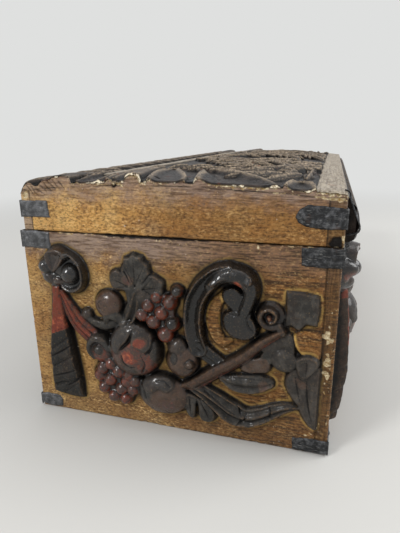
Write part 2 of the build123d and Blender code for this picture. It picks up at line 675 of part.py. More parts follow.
def strap(corner_y, facing, low, width, end_reach, side_reach, point=0.0):
    """A strap bent round the left corner at a depth; facing is +1 at the rear, -1 at the front."""
    across = REAR_Y - corner_y
    outer = across - facing * STRAP
    inner = across + facing * end_reach
    corners = [(outer, low), (outer, low + width), (inner - facing * point, low + width)]
    if point:
        corners.append((inner, low + width / 2))
    corners.append((inner - facing * point, low))
    with BuildSketch(LEFT_FACE) as end_leg:
        Polygon(*corners)
    extrude(end_leg.sketch, amount=STRAP)
    side_low = min(corner_y, corner_y + facing * STRAP)
    board(LEFT_X, LEFT_X + side_reach, side_low, side_low + STRAP, low, low + width)


def end_nail(across, up):
    """Domed nail head on the end leg of a left strap."""
    seat = Panel(LEFT_FACE.offset(STRAP), DRAWING_WIDTH, DRAWING_HEIGHT, 1.0)
    dome(seat, across, up, NAIL_RADIUS, NAIL_RADIUS, NAIL_RISE, tiers=1)


def side_nail(face, along, up):
    """Domed nail head on the front or rear leg of a left strap."""
    seat = Panel(face.offset(STRAP), DRAWING_WIDTH, DRAWING_HEIGHT, 1.0)
    dome(seat, along, up, NAIL_RADIUS, NAIL_RADIUS, NAIL_RISE, tiers=1)


RIM_STRAP_LOW = RIM - RIM_STRAP_WIDTH
STRAPS = {
    "rim_strap_rear": (REAR_Y, 1, RIM_STRAP_LOW, RIM_STRAP_WIDTH, REACH_REAR, SIDE_REACH, 0),
    "rim_strap_front": (
        FRONT_Y, -1, RIM_STRAP_LOW, RIM_STRAP_WIDTH, REACH_FRONT, SIDE_REACH_FRONT_RIM, 0,
    ),
    "foot_strap_rear": (REAR_Y, 1, FOOT_STRAP_LIFT, FOOT_STRAP_WIDTH, REACH_FOOT, SIDE_REACH, 0),
    "foot_strap_front": (FRONT_Y, -1, FOOT_STRAP_LIFT, FOOT_STRAP_WIDTH, REACH_REAR, SIDE_REACH, 0),
    "lid_strap_rear": (
        LID_REAR_Y, 1, RIM + LID_STRAP_LIFT, LID_STRAP_WIDTH, REACH_LID_REAR, SIDE_REACH, 0,
    ),
    "lid_strap_front": (
        FRONT_Y, -1, RIM + LID_STRAP_LIFT + FRONT_STRAP_LIFT, LID_STRAP_WIDTH,
        REACH_LID_FRONT, SIDE_REACH_LID_FRONT, STRAP_POINT,
    ),
}
for node, (corner_y, facing, low, width, end_reach, side_reach, point) in STRAPS.items():
    with BuildPart() as left_strap:
        strap(corner_y, facing, low, width, end_reach, side_reach, point)
    finish(left_strap, f"{node}_left")
    with BuildPart() as right_strap:
        mirror(left_strap.part, about=Plane.YZ)
    finish(right_strap, f"{node}_right")

NAIL_INSET = 5.0            # nails stand this far inside the ends of a strap's leg
with BuildPart() as chest_nails:
    rim_nail_up = RIM - RIM_STRAP_WIDTH / 2
    foot_nail_up = FOOT_STRAP_LIFT + FOOT_STRAP_WIDTH / 2
    for from_edge in (NAIL_INSET, REACH_REAR - NAIL_INSET):
        end_nail(from_edge, rim_nail_up)
    for from_edge in (NAIL_INSET, REACH_FRONT - NAIL_INSET):
        end_nail(DEPTH - from_edge, rim_nail_up)
    for across in (NAIL_INSET, DEPTH - NAIL_INSET):
        end_nail(across, foot_nail_up)
    for up in (rim_nail_up, foot_nail_up):
        side_nail(REAR_FACE, SIDE_REACH - NAIL_INSET, up)
    side_nail(FRONT_FACE, SIDE_REACH - NAIL_INSET, foot_nail_up)
    side_nail(FRONT_FACE, SIDE_REACH_FRONT_RIM - NAIL_INSET, rim_nail_up)
    mirror(about=Plane.YZ)
finish(chest_nails, "chest_nails")

with BuildPart() as lid_nails:
    lid_nail_up = RIM + LID_STRAP_LIFT + LID_STRAP_WIDTH / 2
    for across in (LID_INSET + NAIL_INSET, LID_INSET + REACH_LID_REAR - NAIL_INSET):
        end_nail(across, lid_nail_up)
    for across in (DEPTH - REACH_LID_FRONT + STRAP_POINT + 1, DEPTH - NAIL_INSET - 3):
        end_nail(across, lid_nail_up + FRONT_STRAP_LIFT)
    side_nail(LID_REAR_FACE, SIDE_REACH - NAIL_INSET, lid_nail_up)
    mirror(about=Plane.YZ)
finish(lid_nails, "lid_nails")

# ---------------------------------------------------------------- hinges
KNUCKLES = 3
KNUCKLE_LENGTH = (LEAF_WIDTH - (KNUCKLES - 1) * KNUCKLE_GAP) / KNUCKLES
KNUCKLE_PITCH = KNUCKLE_LENGTH + KNUCKLE_GAP
PIN_HEAD = 0.8              # the pin stands this far out of the outer knuckles
HINGE_PLANE = Plane(origin=(0, HINGE_Y, RIM), x_dir=(0, 1, 0), z_dir=(1, 0, 0))
LEFT_HINGE_X = -HINGE_SPACING / 2


def barrel(centre_x, length, radius, mode=Mode.ADD):
    """A round length along the hinge's axis."""
    with BuildSketch(HINGE_PLANE.offset(centre_x - length / 2)) as section:
        Circle(radius)
    extrude(section.sketch, amount=length, mode=mode)


with BuildPart() as lower_leaf:
    left_side = LEFT_HINGE_X - LEAF_WIDTH / 2
    right_side = LEFT_HINGE_X + LEAF_WIDTH / 2
    board(left_side, right_side, REAR_Y, REAR_Y + LEAF_THICKNESS, RIM - LOWER_LEAF_DROP, RIM)
    for side in (-1, 1):
        barrel(LEFT_HINGE_X + side * KNUCKLE_PITCH, KNUCKLE_LENGTH, KNUCKLE_RADIUS)
    gap_half = KNUCKLE_LENGTH / 2 + KNUCKLE_GAP
    board(LEFT_HINGE_X - gap_half, LEFT_HINGE_X + gap_half, REAR_Y, REAR_Y + LEAF_THICKNESS,
          RIM - KNUCKLE_RADIUS - 2 * KNUCKLE_GAP, RIM, mode=Mode.SUBTRACT)
    barrel(LEFT_HINGE_X, LEAF_WIDTH, PIN_RADIUS + PIN_CLEARANCE, mode=Mode.SUBTRACT)

with BuildPart() as upper_leaf:
    board(left_side, right_side, LID_REAR_Y, LID_REAR_Y + LEAF_THICKNESS,
          RIM + LEAF_LIFT, RIM + UPPER_LEAF_RISE)
    board(LEFT_HINGE_X - KNUCKLE_LENGTH / 2, LEFT_HINGE_X + KNUCKLE_LENGTH / 2, LID_REAR_Y, HINGE_Y,
          RIM + LEAF_LIFT, RIM + LEAF_LIFT + LEAF_THICKNESS)
    barrel(LEFT_HINGE_X, KNUCKLE_LENGTH, KNUCKLE_RADIUS)
    barrel(LEFT_HINGE_X, LEAF_WIDTH, PIN_RADIUS + PIN_CLEARANCE, mode=Mode.SUBTRACT)

with BuildPart() as hinge_pin:
    barrel(LEFT_HINGE_X, LEAF_WIDTH + 2 * PIN_HEAD, PIN_RADIUS)

HINGE_PIECES = {
    "hinge_lower_leaf": lower_leaf,
    "hinge_upper_leaf": upper_leaf,
    "hinge_pin": hinge_pin,
}
for node, piece in HINGE_PIECES.items():
    finish(piece, f"{node}_left")
    with BuildPart() as right_piece:
        mirror(piece.part, about=Plane.YZ)
    finish(right_piece, f"{node}_right")

# ---------------------------------------------------------------- iron band over the lid moulding
with BuildPart() as iron_band:
    with BuildSketch(Plane.YZ.offset(LEFT_X + BAND_OFFSET)) as strip:
        with BuildLine():
            lie = TOP_BOARD + BAND_THICKNESS / 2
            Polyline(
                (FRONT_Y + 9, crown_height(FRONT_Y + 9, lie + 0.05)),
                (FRONT_Y - 0.9, crown_height(FRONT_Y, lie)),
                (FRONT_Y - 2.0, RIM + 27.0),
                (FRONT_Y - 5.9, RIM + 18.4),
                (FRONT_Y - 8.6, RIM + 12.5),
                (FRONT_Y - 8.0, RIM + 9.0),
                (FRONT_Y - 4.5, RIM + 7.6),
                (FRONT_Y - 0.1, RIM + 7.0),
            )
        trace(line_width=BAND_THICKNESS)
    extrude(strip.sketch, amount=BAND_WIDTH)
finish(iron_band, "iron_band")
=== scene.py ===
from functools import partial
from math import cos, hypot, pi, radians, sin

import bmesh
import bpy
import numpy as np
from mathutils import Matrix, Vector


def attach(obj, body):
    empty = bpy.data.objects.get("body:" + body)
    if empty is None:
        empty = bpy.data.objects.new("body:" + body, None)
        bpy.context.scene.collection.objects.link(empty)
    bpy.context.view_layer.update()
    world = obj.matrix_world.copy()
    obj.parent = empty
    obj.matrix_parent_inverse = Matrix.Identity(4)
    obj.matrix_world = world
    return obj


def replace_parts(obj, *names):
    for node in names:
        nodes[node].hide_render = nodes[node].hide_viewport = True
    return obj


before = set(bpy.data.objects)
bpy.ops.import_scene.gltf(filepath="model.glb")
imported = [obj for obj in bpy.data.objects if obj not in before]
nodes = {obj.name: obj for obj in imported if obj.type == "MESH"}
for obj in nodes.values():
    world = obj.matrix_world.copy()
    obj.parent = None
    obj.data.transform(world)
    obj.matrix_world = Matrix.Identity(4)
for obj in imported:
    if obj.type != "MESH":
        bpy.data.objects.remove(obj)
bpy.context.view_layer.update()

# Carved and painted cassone. Metres, in the CAD frame: +X along the length, -Y the front,
# +Y the hinged rear, +Z up. Sizes of the carving are written in millimetres and scaled by MM.
MM = 0.001

LENGTH, DEPTH, BODY_HEIGHT = 550.0, 230.0, 150.0
LONG_BOARD, END_BOARD = 10.0, 12.0
LID_REAR_Y = 112.5
LID_DEPTH = LID_REAR_Y + DEPTH / 2
REAR_RAIL, FRONT_RAIL = 8.0, 10.0
CROWN_POINTS = ((112.5, 179.5), (-1.25, 185.0), (-115.0, 179.0))
TOP_BOARD = 4.5
CENTRE_STRIP = 64.0         # the middle of the front, between its two mirrored sets
RIM_SEAM = 0.1502           # in metres: ochre above this height is on the lid


# ------------------------ colour and nodes
def linear(code):
    """An sRGB hex colour as the linear values that a shader takes."""
    levels = [int(code[place:place + 2], 16) / 255 for place in (1, 3, 5)]
    return (*(v / 12.92 if v <= 0.04045 else ((v + 0.055) / 1.055) ** 2.4 for v in levels), 1.0)


# What most nodes are for: the kind of node, its settings and the output that is used.
TIMES, TIMES_PLUS, PLUS, LARGER, ABOVE, BELOW = (
    ("Math", {"operation": operation}, "Value")
    for operation in ("MULTIPLY", "MULTIPLY_ADD", "ADD", "MAXIMUM", "GREATER_THAN", "LESS_THAN"))
STEP = ("MapRange", {"interpolation_type": "SMOOTHSTEP"}, "Result")
BLEND = ("Mix", {"data_type": "RGBA"}, "Result")
NOISE, STRETCH, RAMP = ("TexNoise", {}, "Fac"), ("Mapping", {}, "Vector"), ("ValToRGB", {}, "Color")
SHARES = ("wear", "hollow", "foot", "near", "pigment", "chip", "plain")
WEAR_AND_HIGHLIGHT, HOLLOW_DIRT_AND_SHADE, FOOT, NEAR, PIGMENT, CHIP, PLAIN = (
    ("Attribute", {"attribute_name": name}, "Fac") for name in SHARES)


def add(tree, use, *values, sockets=None, stops=(), output=None, **settings):
    """Add a node, of one of the uses above or of a plain kind. Values go to its open sockets in order,
    and those in sockets by name: each is a number, a hex colour, a triple or the output that feeds it.
    Stops are a ramp's places and colours. The result is the output of that name, or the first one."""
    kind, own_settings, output = (use, {}, output) if isinstance(use, str) else use
    node = tree.nodes.new("ShaderNode" + kind)
    for name, value in {**own_settings, **settings}.items():
        setattr(node, name, value)
    feeds = list(zip([socket for socket in node.inputs if socket.enabled], values))
    feeds += [(node.inputs[name], value) for name, value in (sockets or {}).items()]
    for socket, value in feeds:
        if isinstance(value, bpy.types.NodeSocket):
            tree.links.new(value, socket)
        else:
            socket.default_value = linear(value) if isinstance(value, str) else value
    for index, (place, code) in enumerate(stops):
        elements = node.color_ramp.elements
        element = elements[index] if index < len(elements) else elements.new(place)
        element.position, element.color = place, linear(code)
    return next((socket for socket in node.outputs if socket.enabled and output in (None, socket.name)), None)


def scale(size_mm):
    """The scale of a noise whose lumps are about this size across."""
    return 1 / (size_mm * MM)


def new_material(name):
    """An empty material, what adds a node to it, and the object's own coordinates in metres."""
    material = bpy.data.materials.new(name)
    material.use_nodes = True
    material.node_tree.nodes.clear()
    node = partial(add, material.node_tree)
    return material, node, node("TexCoord", output="Object")


def close(material, colour, roughness, relief, metallic=0.0, coat=0.0, coat_roughness=0.3, specular=0.5):
    """Join a material's colour, gloss and relief, in layers of (height, depth in mm), to its surface."""
    node, normal = partial(add, material.node_tree), {}
    for height, depth in relief:
        normal = {"Normal": node("Bump", sockets={"Height": height, "Distance": depth * MM, **normal})}
    shader = node("BsdfPrincipled", sockets={
        "Base Color": colour, "Roughness": roughness, "Metallic": metallic, "Specular IOR Level": specular,
        "Coat Weight": coat, "Coat Roughness": coat_roughness, **normal})
    node("OutputMaterial", shader)
    return material


# Pigments of the carving, as places on one ramp.
BLACK, BROWN, STEM, DARK_RED, RED, ORANGE = 0.0, 0.25, 0.42, 0.6, 0.8, 1.0
PIGMENTS = (
    (BLACK, "#121212"), (BROWN, "#4a3120"), (STEM, "#3d2926"), (DARK_RED, "#6f2e14"),
    (RED, "#6e281b"), (ORANGE, "#a8532e"),
)


def carved_paint(name, rub_and_highlight, dust, sheen, polish):
    """Oil paint on carved wood, rubbed through to brown on its ridges, which also carry a painted highlight,
    with dirt and painted shade in its hollows. The eye sees soft highlights on dark paint and thin warm lines
    along worn edges."""
    material, node, place = new_material(name)
    # Pigment laid by hand: patches 7 mm and dabs 3 mm across are darker or brighter, but plain black isn't.
    patches = node(NOISE, place, scale(7.0), 5.0, 0.65)
    dabs = node(NOISE, place, scale(3.0), 4.0, 0.7)
    pigment = node(PIGMENT)
    colourful = node(TIMES, pigment, 3.0, use_clamp=True)
    mottled = node(TIMES_PLUS, dabs, 1.1, node(TIMES_PLUS, patches, 0.8, -1.0))
    uneven = node(TIMES, mottled, colourful)
    colour = node(RAMP, node(PLUS, pigment, uneven), stops=PIGMENTS)
    greying = node(STEP, patches, 0.40, 0.66, 0.35 * dust, dust)
    colour = node(BLEND, greying, colour, "#5c5852")
    # Old varnish has gone brown in places 15 mm across.
    varnish = node(NOISE, place, scale(15.0), 3.0, 0.55)
    varnish = node(STEP, varnish, 0.5, 0.72, 0.0, 0.25)
    colour = node(BLEND, varnish, colour, "#3f2a1c")
    # Brown of the wood shows through on ridges, broken up by grain 2 mm wide; the lighter ridges are also a
    # painted highlight.
    grain = node(NOISE, place, scale(2.0), 5.0, 0.75)
    worn_and_lit_ridges = node(TIMES, node(WEAR_AND_HIGHLIGHT), node(STEP, grain, 0.42, 0.6))
    worn_and_lit_ridges = node(TIMES, worn_and_lit_ridges, rub_and_highlight, use_clamp=True)
    colour = node(BLEND, worn_and_lit_ridges, colour, "#957048")
    # Fine rubbing all over, where the brush left the paint thin: specks 1.4 mm across.
    specks = node(NOISE, place, scale(1.4), 5.0, 0.8)
    specks = node(TIMES, node(STEP, specks, 0.56, 0.66), 0.42)
    colour = node(BLEND, specks, colour, "#86704f")
    # Dust and old wax in the hollows, darkened further with painted shade, and the ochre ground at the foot
    # of every form.
    hollow_dirt_and_shade = node(TIMES, node(HOLLOW_DIRT_AND_SHADE), 0.85, use_clamp=True)
    colour = node(BLEND, hollow_dirt_and_shade, colour, "#0b0908")
    patchy = node(STEP, grain, 0.38, 0.58, 0.15, 0.9)
    foot = node(TIMES, node(FOOT), patchy)
    colour = node(BLEND, foot, colour, "#94702f")
    brushed = node(NOISE, place, scale(1.4), 5.0, 0.7)
    roughness = node(STEP, grain, 0.32, 0.7, sheen - 0.06, sheen + 0.22)
    return close(material, colour, roughness, ((brushed, 0.32), (patches, 0.5)),
                 coat=polish, coat_roughness=0.13, specular=0.2)


def ochre_paint():
    """Ochre and gold distemper over gesso on wood: stippled, grained along the board, browned under the rim,
    darkened towards the front with painted shade, and flaked to pale gesso along its edges. Heights and
    depths are in metres here."""
    material, node, place = new_material("ochre_distemper")
    depth = node("SeparateXYZ", place, output="Y")
    up = node("SeparateXYZ", place, output="Z")
    broad = node(NOISE, place, scale(34.0), 5.0, 0.62)
    colour = node(RAMP, broad, stops=(
        (0.30, "#bd8445"), (0.46, "#dba55b"), (0.58, "#eaba70"), (0.74, "#f4d293")))
    # Greyed, rubbed places 18 mm across.
    rubbed = node(STRETCH, place, sockets={"Scale": (1.0, 0.5, 1.0)})
    rubbed = node(NOISE, rubbed, scale(18.0), 4.0, 0.6)
    rubbed = node(STEP, rubbed, 0.50, 0.70, 0.0, 0.55)
    colour = node(BLEND, rubbed, colour, "#94775a")
    # Grain runs along every board, in streaks about 1.6 mm wide and 16 mm long.
    grain = node(STRETCH, place, sockets={"Scale": (0.10, 0.10, 1.0)})
    grain = node(NOISE, grain, scale(1.6), 6.0, 0.72, sockets={"Distortion": 0.35})
    furrows = node(STEP, grain, 0.32, 0.50, 0.5, 0.0)
    colour = node(BLEND, furrows, colour, "#5c3c1e")
    broken = node(STRETCH, place, sockets={"Scale": (0.3, 0.3, 1.0)})
    broken = node(NOISE, broken, scale(9.0), 4.0, 0.6)
    streaks = node(TIMES, node(STEP, grain, 0.52, 0.68), node(STEP, broken, 0.42, 0.6))
    colour = node(BLEND, node(TIMES, streaks, 0.4), colour, "#e0b468")
    # Dabs of the stippling brush, 5 mm across, darker and lighter.
    dabs = node(STRETCH, place, sockets={"Scale": (0.6, 0.6, 1.0)})
    dabs = node(NOISE, dabs, scale(5.0), 5.0, 0.7)
    darker = node(STEP, dabs, 0.50, 0.38, 0.0, 0.5)
    colour = node(BLEND, darker, colour, "#7a5126")
    lighter = node(STEP, dabs, 0.54, 0.66, 0.0, 0.4)
    colour = node(BLEND, lighter, colour, "#e6c184")
    # The lid's rail is browner in its front half: painted shade, as the light falls off towards the front.
    on_rail = node(ABOVE, up, RIM_SEAM)
    rail_front_shade = node(STEP, node(TIMES_PLUS, broad, 0.03, depth), 0.022, 0.010)
    rail_front_shade_share = node(TIMES, node(TIMES, on_rail, rail_front_shade), 0.6)
    colour = node(BLEND, rail_front_shade_share, colour, "#99642a")
    # The chest is dirtier than the lid, and its front half is a darker brown, most of all high up: painted
    # shade, as the light falls off towards the front.
    on_chest = node(BELOW, up, RIM_SEAM)
    colour = node(BLEND, node(TIMES, on_chest, 0.42), colour, "#6d4a2a")
    lean = node(TIMES_PLUS, up, -0.2, depth)
    front = node(STEP, node(TIMES_PLUS, broad, 0.07, lean), 0.062, -0.035)
    painted_front_shade = node(TIMES, front, node(STEP, up, 0.1495, 0.1505, 0.88, 0.44))
    front_shade_browns = node(BLEND, node(STEP, grain, 0.39, 0.57), "#301a09", "#8c5c2a")
    colour = node(BLEND, painted_front_shade, colour, front_shade_browns)
    # Soot and floor dirt along the foot.
    sooty = node(TIMES_PLUS, broad, 0.03, up)
    sooty = node(STEP, sooty, 0.055, 0.012, 0.0, 0.35)
    colour = node(BLEND, sooty, colour, "#5b4a3c")
    # Stipple of the ground: pits and bright crumbs, about 1.3 mm high and twice as long.
    stipple = node(STRETCH, place, sockets={"Scale": (0.5, 0.5, 1.0)})
    stipple = node(NOISE, stipple, scale(1.3), 6.0, 0.8)
    pits = node(STEP, stipple, 0.49, 0.40, 0.0, 0.75)
    colour = node(BLEND, pits, colour, "#3c2512")
    crumbs = node(TIMES, node(STEP, stipple, 0.53, 0.61), node(STEP, broken, 0.38, 0.60, 0.25, 0.85))
    # Bright crumbs fade where the painted shade darkens the front.
    crumbs = node(TIMES, crumbs, node(STEP, front, 0.0, 1.0, 1.0, 0.45))
    colour = node(BLEND, crumbs, colour, "#e9c486")
    # Purplish brown below the rim and below the lid's top edge, with a ragged lower edge.
    ragged = node(TIMES_PLUS, node(NOISE, place, scale(14.0), 5.0, 0.7), 0.036, up)
    lower = node(TIMES, node(STEP, ragged, 0.140, 0.160), on_chest)
    lower = node(TIMES, lower, node(STEP, depth, -0.05, 0.02, 0.35, 1.0))
    upper = node(TIMES, node(STEP, ragged, 0.184, 0.202), node(STEP, depth, -0.08, 0.0, 0.45, 0.8))
    shade = node(LARGER, lower, upper)
    shade = node(LARGER, shade, node(FOOT))
    purple = node(BLEND, node(STEP, grain, 0.38, 0.58), "#614e44", "#a59082")
    flecks = node(STEP, stipple, 0.56, 0.66, 0.0, 0.5)
    purple = node(BLEND, flecks, purple, "#d3b58c")
    colour = node(BLEND, node(TIMES, shade, 0.85), colour, purple)
    # Near the carving: a bright line of fresher ochre, then dirt with painted shade at the foot.
    near = node(NEAR)
    bright = node(TIMES, node(STEP, near, 0.12, 0.5), node(STEP, dabs, 0.38, 0.54))
    colour = node(BLEND, node(TIMES, bright, 0.9), colour, "#d0a75c")
    foot_dirt_and_shade = node(STEP, near, 0.84, 1.0, 0.0, 0.7)
    colour = node(BLEND, foot_dirt_and_shade, colour, "#24180d")
    # End grain of the front board: browner, ruled across by its rings.
    rings = node(STRETCH, place, sockets={"Scale": (1.0, 1.0, 0.12)})
    rings = node(NOISE, rings, scale(1.6), 4.0, 0.6)
    end_grain = node(BLEND, node(STEP, rings, 0.38, 0.62), "#33220f", "#6b4d2b")
    plain = node(TIMES, node(PLAIN), 0.6)
    colour = node(BLEND, plain, colour, end_grain)
    # Specks of white wall paint about 1 mm across, far apart.
    white = node(STEP, node(NOISE, place, scale(2.2), 2.0, 0.4), 0.765, 0.785)
    colour = node(BLEND, node(TIMES, white, 0.8), colour, "#d9d2c4")
    # Joints and cracks, blackened; the same share lays painted shade in the open seams, the lost splinter's
    # hole and low places. Then chips: pale gesso, gold at their rims.
    joints_and_shade = node(TIMES, node(HOLLOW_DIRT_AND_SHADE), 0.95, use_clamp=True)
    colour = node(BLEND, joints_and_shade, colour, "#120b06")
    gesso = node(BLEND, node(STEP, stipple, 0.38, 0.6), "#9b7434", "#e9d9b4")
    chips = node(STEP, node(CHIP), 0.15, 0.75)
    colour = node(BLEND, chips, colour, gesso)
    pitted = node(STEP, stipple, 0.40, 0.60)
    roughness = node(STEP, stipple, 0.35, 0.65, 0.34, 0.60)
    return close(material, colour, roughness, ((pitted, 0.25), (dabs, 0.5), (grain, 0.3)),
                 coat=0.06, coat_roughness=0.25, specular=0.25)


def stained_walnut():
    """Carved walnut stained nearly black and waxed: satin hollows with painted shade, grey-brown worn ridges
    with a painted highlight.
    """
    material, node, place = new_material("stained_walnut")
    patches = node(NOISE, place, scale(9.0), 4.0, 0.6)
    colour = node(RAMP, patches, stops=((0.35, "#120f0d"), (0.52, "#211a16"), (0.70, "#3a2f28")))
    grain = node(STRETCH, place, sockets={"Scale": (0.12, 1.0, 1.0)})
    grain = node(NOISE, grain, scale(1.6), 5.0, 0.7)
    crumbs = node(NOISE, place, scale(1.8), 5.0, 0.75)
    # Worn ridges, made paler still as a painted highlight.
    worn_and_lit_ridges = node(TIMES, node(WEAR_AND_HIGHLIGHT), node(STEP, crumbs, 0.40, 0.62))
    worn_and_lit_ridges = node(TIMES, worn_and_lit_ridges, 1.1, use_clamp=True)
    colour = node(BLEND, worn_and_lit_ridges, colour, "#a8967f")
    # Dust lies grey on everything that faces up, in specks and smears.
    dust = node(TIMES, node(STEP, crumbs, 0.5, 0.66), node(STEP, patches, 0.4, 0.62))
    colour = node(BLEND, node(TIMES, dust, 0.16), colour, "#857a70")
    # Dirt and painted shade blacken the hollows.
    hollow_dirt_and_shade = node(TIMES, node(HOLLOW_DIRT_AND_SHADE), 1.2, use_clamp=True)
    colour = node(BLEND, hollow_dirt_and_shade, colour, "#0a0807")
    # Plain flat places are rubbed to a pale grey-beige, cross-hatched by pores 1.4 mm apart. Real pores
    # are finer than can show.
    pores = node(STRETCH, place, sockets={"Scale": (1.0, 0.08, 1.0)})
    pores = node(NOISE, pores, scale(1.4), 3.0, 0.6)
    pores = node(STEP, pores, 0.44, 0.34, 0.0, 0.6)
    pale = node(BLEND, node(STEP, grain, 0.36, 0.62), "#6d6255", "#a79c8a")
    pale = node(BLEND, pores, pale, "#4f463c")
    colour = node(BLEND, node(PLAIN), colour, pale)
    # A few places 12 mm across keep a rusty red.
    rust = node(STEP, node(NOISE, place, scale(12.0), 3.0, 0.55), 0.64, 0.72)
    colour = node(BLEND, node(TIMES, rust, 0.4), colour, "#74402a")
    gesso = node(BLEND, node(STEP, crumbs, 0.40, 0.58), "#6b5334", "#e4d8bd")
    chips = node(STEP, node(CHIP), 0.2, 0.8)
    colour = node(BLEND, chips, colour, gesso)
    roughness = node(STEP, crumbs, 0.35, 0.7, 0.27, 0.60)
    return close(material, colour, roughness, ((grain, 0.35), (crumbs, 0.22)), specular=0.16)


def bare_wood():
    """Old unpainted softwood: dark brown from age and handling, with open grain."""
    material, node, place = new_material("aged_bare_wood")
    grain = node(STRETCH, place, sockets={"Scale": (0.05, 0.6, 1.0)})
    grain = node(NOISE, grain, scale(2.2), 6.0, 0.65, sockets={"Distortion": 0.3})
    colour = node(RAMP, grain, stops=((0.32, "#3a2818"), (0.5, "#5a3f27"), (0.7, "#77573a")))
    patches = node(NOISE, place, scale(30.0), 4.0, 0.55)
    patches = node(STEP, patches, 0.4, 0.75, 0.0, 0.45)
    colour = node(BLEND, patches, colour, "#4b3a2c")
    roughness = node(STEP, grain, 0.3, 0.7, 0.72, 0.58)
    return close(material, colour, roughness, ((grain, 0.35),))


def sheet_iron():
    """Forged sheet iron, blackened and dull, with a blue-grey cast, scratches and faint rust."""
    material, node, place = new_material("blackened_sheet_iron")
    patches = node(NOISE, place, scale(5.0), 5.0, 0.7)
    colour = node(RAMP, patches, stops=((0.34, "#0e0e0f"), (0.50, "#242527"), (0.66, "#5d5e60")))
    scratches = node(STRETCH, place, sockets={"Scale": (0.2, 0.2, 1.6)})
    scratches = node(NOISE, scratches, scale(0.9), 3.0, 0.6)
    bright = node(STEP, scratches, 0.58, 0.70, 0.0, 0.7)
    colour = node(BLEND, bright, colour, "#8d8c89")
    rust = node(STEP, node(NOISE, place, scale(7.0), 4.0, 0.55), 0.60, 0.72)
    colour = node(BLEND, node(TIMES, rust, 0.4), colour, "#4b2f20")
    # The rear ones are greyer and lighter than those at the front.
    greying = node(STEP, node("SeparateXYZ", place, output="Y"), -0.03, 0.08)
    greying = node(TIMES, greying, node(STEP, patches, 0.35, 0.6, 0.5, 1.0))
    colour = node(BLEND, node(TIMES, greying, 0.4), colour, "#7d7e80")
    # Worn edges, lighter grey and also a painted highlight; dirt and painted shade in the hollows.
    edges = node(TIMES, node(WEAR_AND_HIGHLIGHT), 0.8, use_clamp=True)
    colour = node(BLEND, edges, colour, "#77736c")
    hollow_dirt_and_shade = node(TIMES, node(HOLLOW_DIRT_AND_SHADE), 0.6, use_clamp=True)
    colour = node(BLEND, hollow_dirt_and_shade, colour, "#0c0b0b")
    roughness = node(STEP, patches, 0.3, 0.7, 0.60, 0.32)
    return close(material, colour, roughness, ((patches, 0.8), (scratches, 0.25)), metallic=0.35)


# Each motif's paint: how far its ridges are rubbed and lit with a painted highlight, its dust, its roughness
# and its polish.
PAINTS = {
    "rosette": carved_paint("black_oil_paint_polished", 0.35, 0.08, 0.28, 0.85),
    "drapery": carved_paint("oil_paint_cloth", 0.65, 0.20, 0.50, 0.12),
    "ribbon": carved_paint("red_oil_paint", 0.5, 0.15, 0.42, 0.25),
    "fruit": carved_paint("fruit_oil_paint", 0.65, 0.24, 0.34, 0.5),
    "grapes": carved_paint("grape_oil_paint", 0.4, 0.06, 0.27, 0.7),
    "scroll": carved_paint("black_oil_paint_rubbed", 0.6, 0.03, 0.25, 0.55),
    "stem": carved_paint("stem_oil_paint", 0.9, 0.12, 0.36, 0.35),
    "foliage": carved_paint("black_oil_paint_matt", 0.7, 0.52, 0.46, 0.16),
}
OCHRE = ochre_paint()
WALNUT = stained_walnut()
BARE = bare_wood()
IRON = sheet_iron()


# ------------------------ numbers for carving
def lumps(shape, cells, seed):
    """Smooth random lumps between -1 and 1, about so many grid cells across."""
    rng = np.random.default_rng(seed)
    rows, columns = (int(size / cells) + 3 for size in shape)
    coarse = rng.uniform(-1, 1, (rows, columns))
    across = np.linspace(0, rows - 1.001, shape[0])
    up = np.linspace(0, columns - 1.001, shape[1])
    i, j = across.astype(int), up.astype(int)
    a, b = across - i, up - j
    a, b = (a * a * (3 - 2 * a))[:, None], (b * b * (3 - 2 * b))[None, :]
    i, j = i[:, None], j[None, :]
    low = coarse[i, j] * (1 - a) + coarse[i + 1, j] * a
    high = coarse[i, j + 1] * (1 - a) + coarse[i + 1, j + 1] * a
    return low * (1 - b) + high * b


def blurred(values, cells):
    """Average over a square neighbourhood, three times over, which is close to a round one."""
    reach = max(1, int(cells))
    width = 2 * reach + 1
    for repeat in range(3):
        for axis in (0, 1):
            pads = [(0, 0), (0, 0)]
            pads[axis] = (reach + 1, reach)
            total = np.cumsum(np.pad(values, pads, mode="edge"), axis=axis)
            low = np.take(total, range(0, values.shape[axis]), axis=axis)
            high = np.take(total, range(width, width + values.shape[axis]), axis=axis)
            values = (high - low) / width
    return values


def smooth(stations, step, closed=False):
    """Points about a step apart on a smooth curve through the stations."""
    points = [np.array(station, float) for station in stations]
    count = len(points)
    line = []
    for index in range(count if closed else count - 1):
        if closed:
            before, start, end, after = (points[(index + k) % count] for k in (-1, 0, 1, 2))
        else:
            start, end = points[index], points[index + 1]
            before = points[index - 1] if index else 2 * start - end
            after = points[index + 2] if index + 2 < count else 2 * end - start
        pieces = max(2, int(hypot(*(end - start)[:2]) / step))
        for piece in range(pieces):
            t = piece / pieces
            line.append(0.5 * (2 * start + (end - before) * t
                               + (2 * before - 5 * start + 4 * end - after) * t ** 2
                               + (3 * start - before - 3 * end + after) * t ** 3))
    if not closed:
        line.append(points[-1])
    return np.array(line)


# Sections of a carved strip: a share of its rise, from its left edge (-1) to its right edge (+1).
def crown(low=0.25, power=0.5):
    """A rounded back over upright sides."""
    return lambda t, s: low + (1 - low) * np.clip(1 - t * t, 0, 1) ** power


def channel(rim=0.8, depth=0.45):
    """A hollow between two rims."""
    def section(t, s):
        inner = 1 - depth * np.clip(1 - (t / rim) ** 2, 0, 1)
        outer = np.clip(1 - ((np.abs(t) - rim) / (1 - rim)) ** 2, 0, 1) ** 0.5
        return np.where(np.abs(t) < rim, inner, 0.6 + 0.4 * outer)
    return section


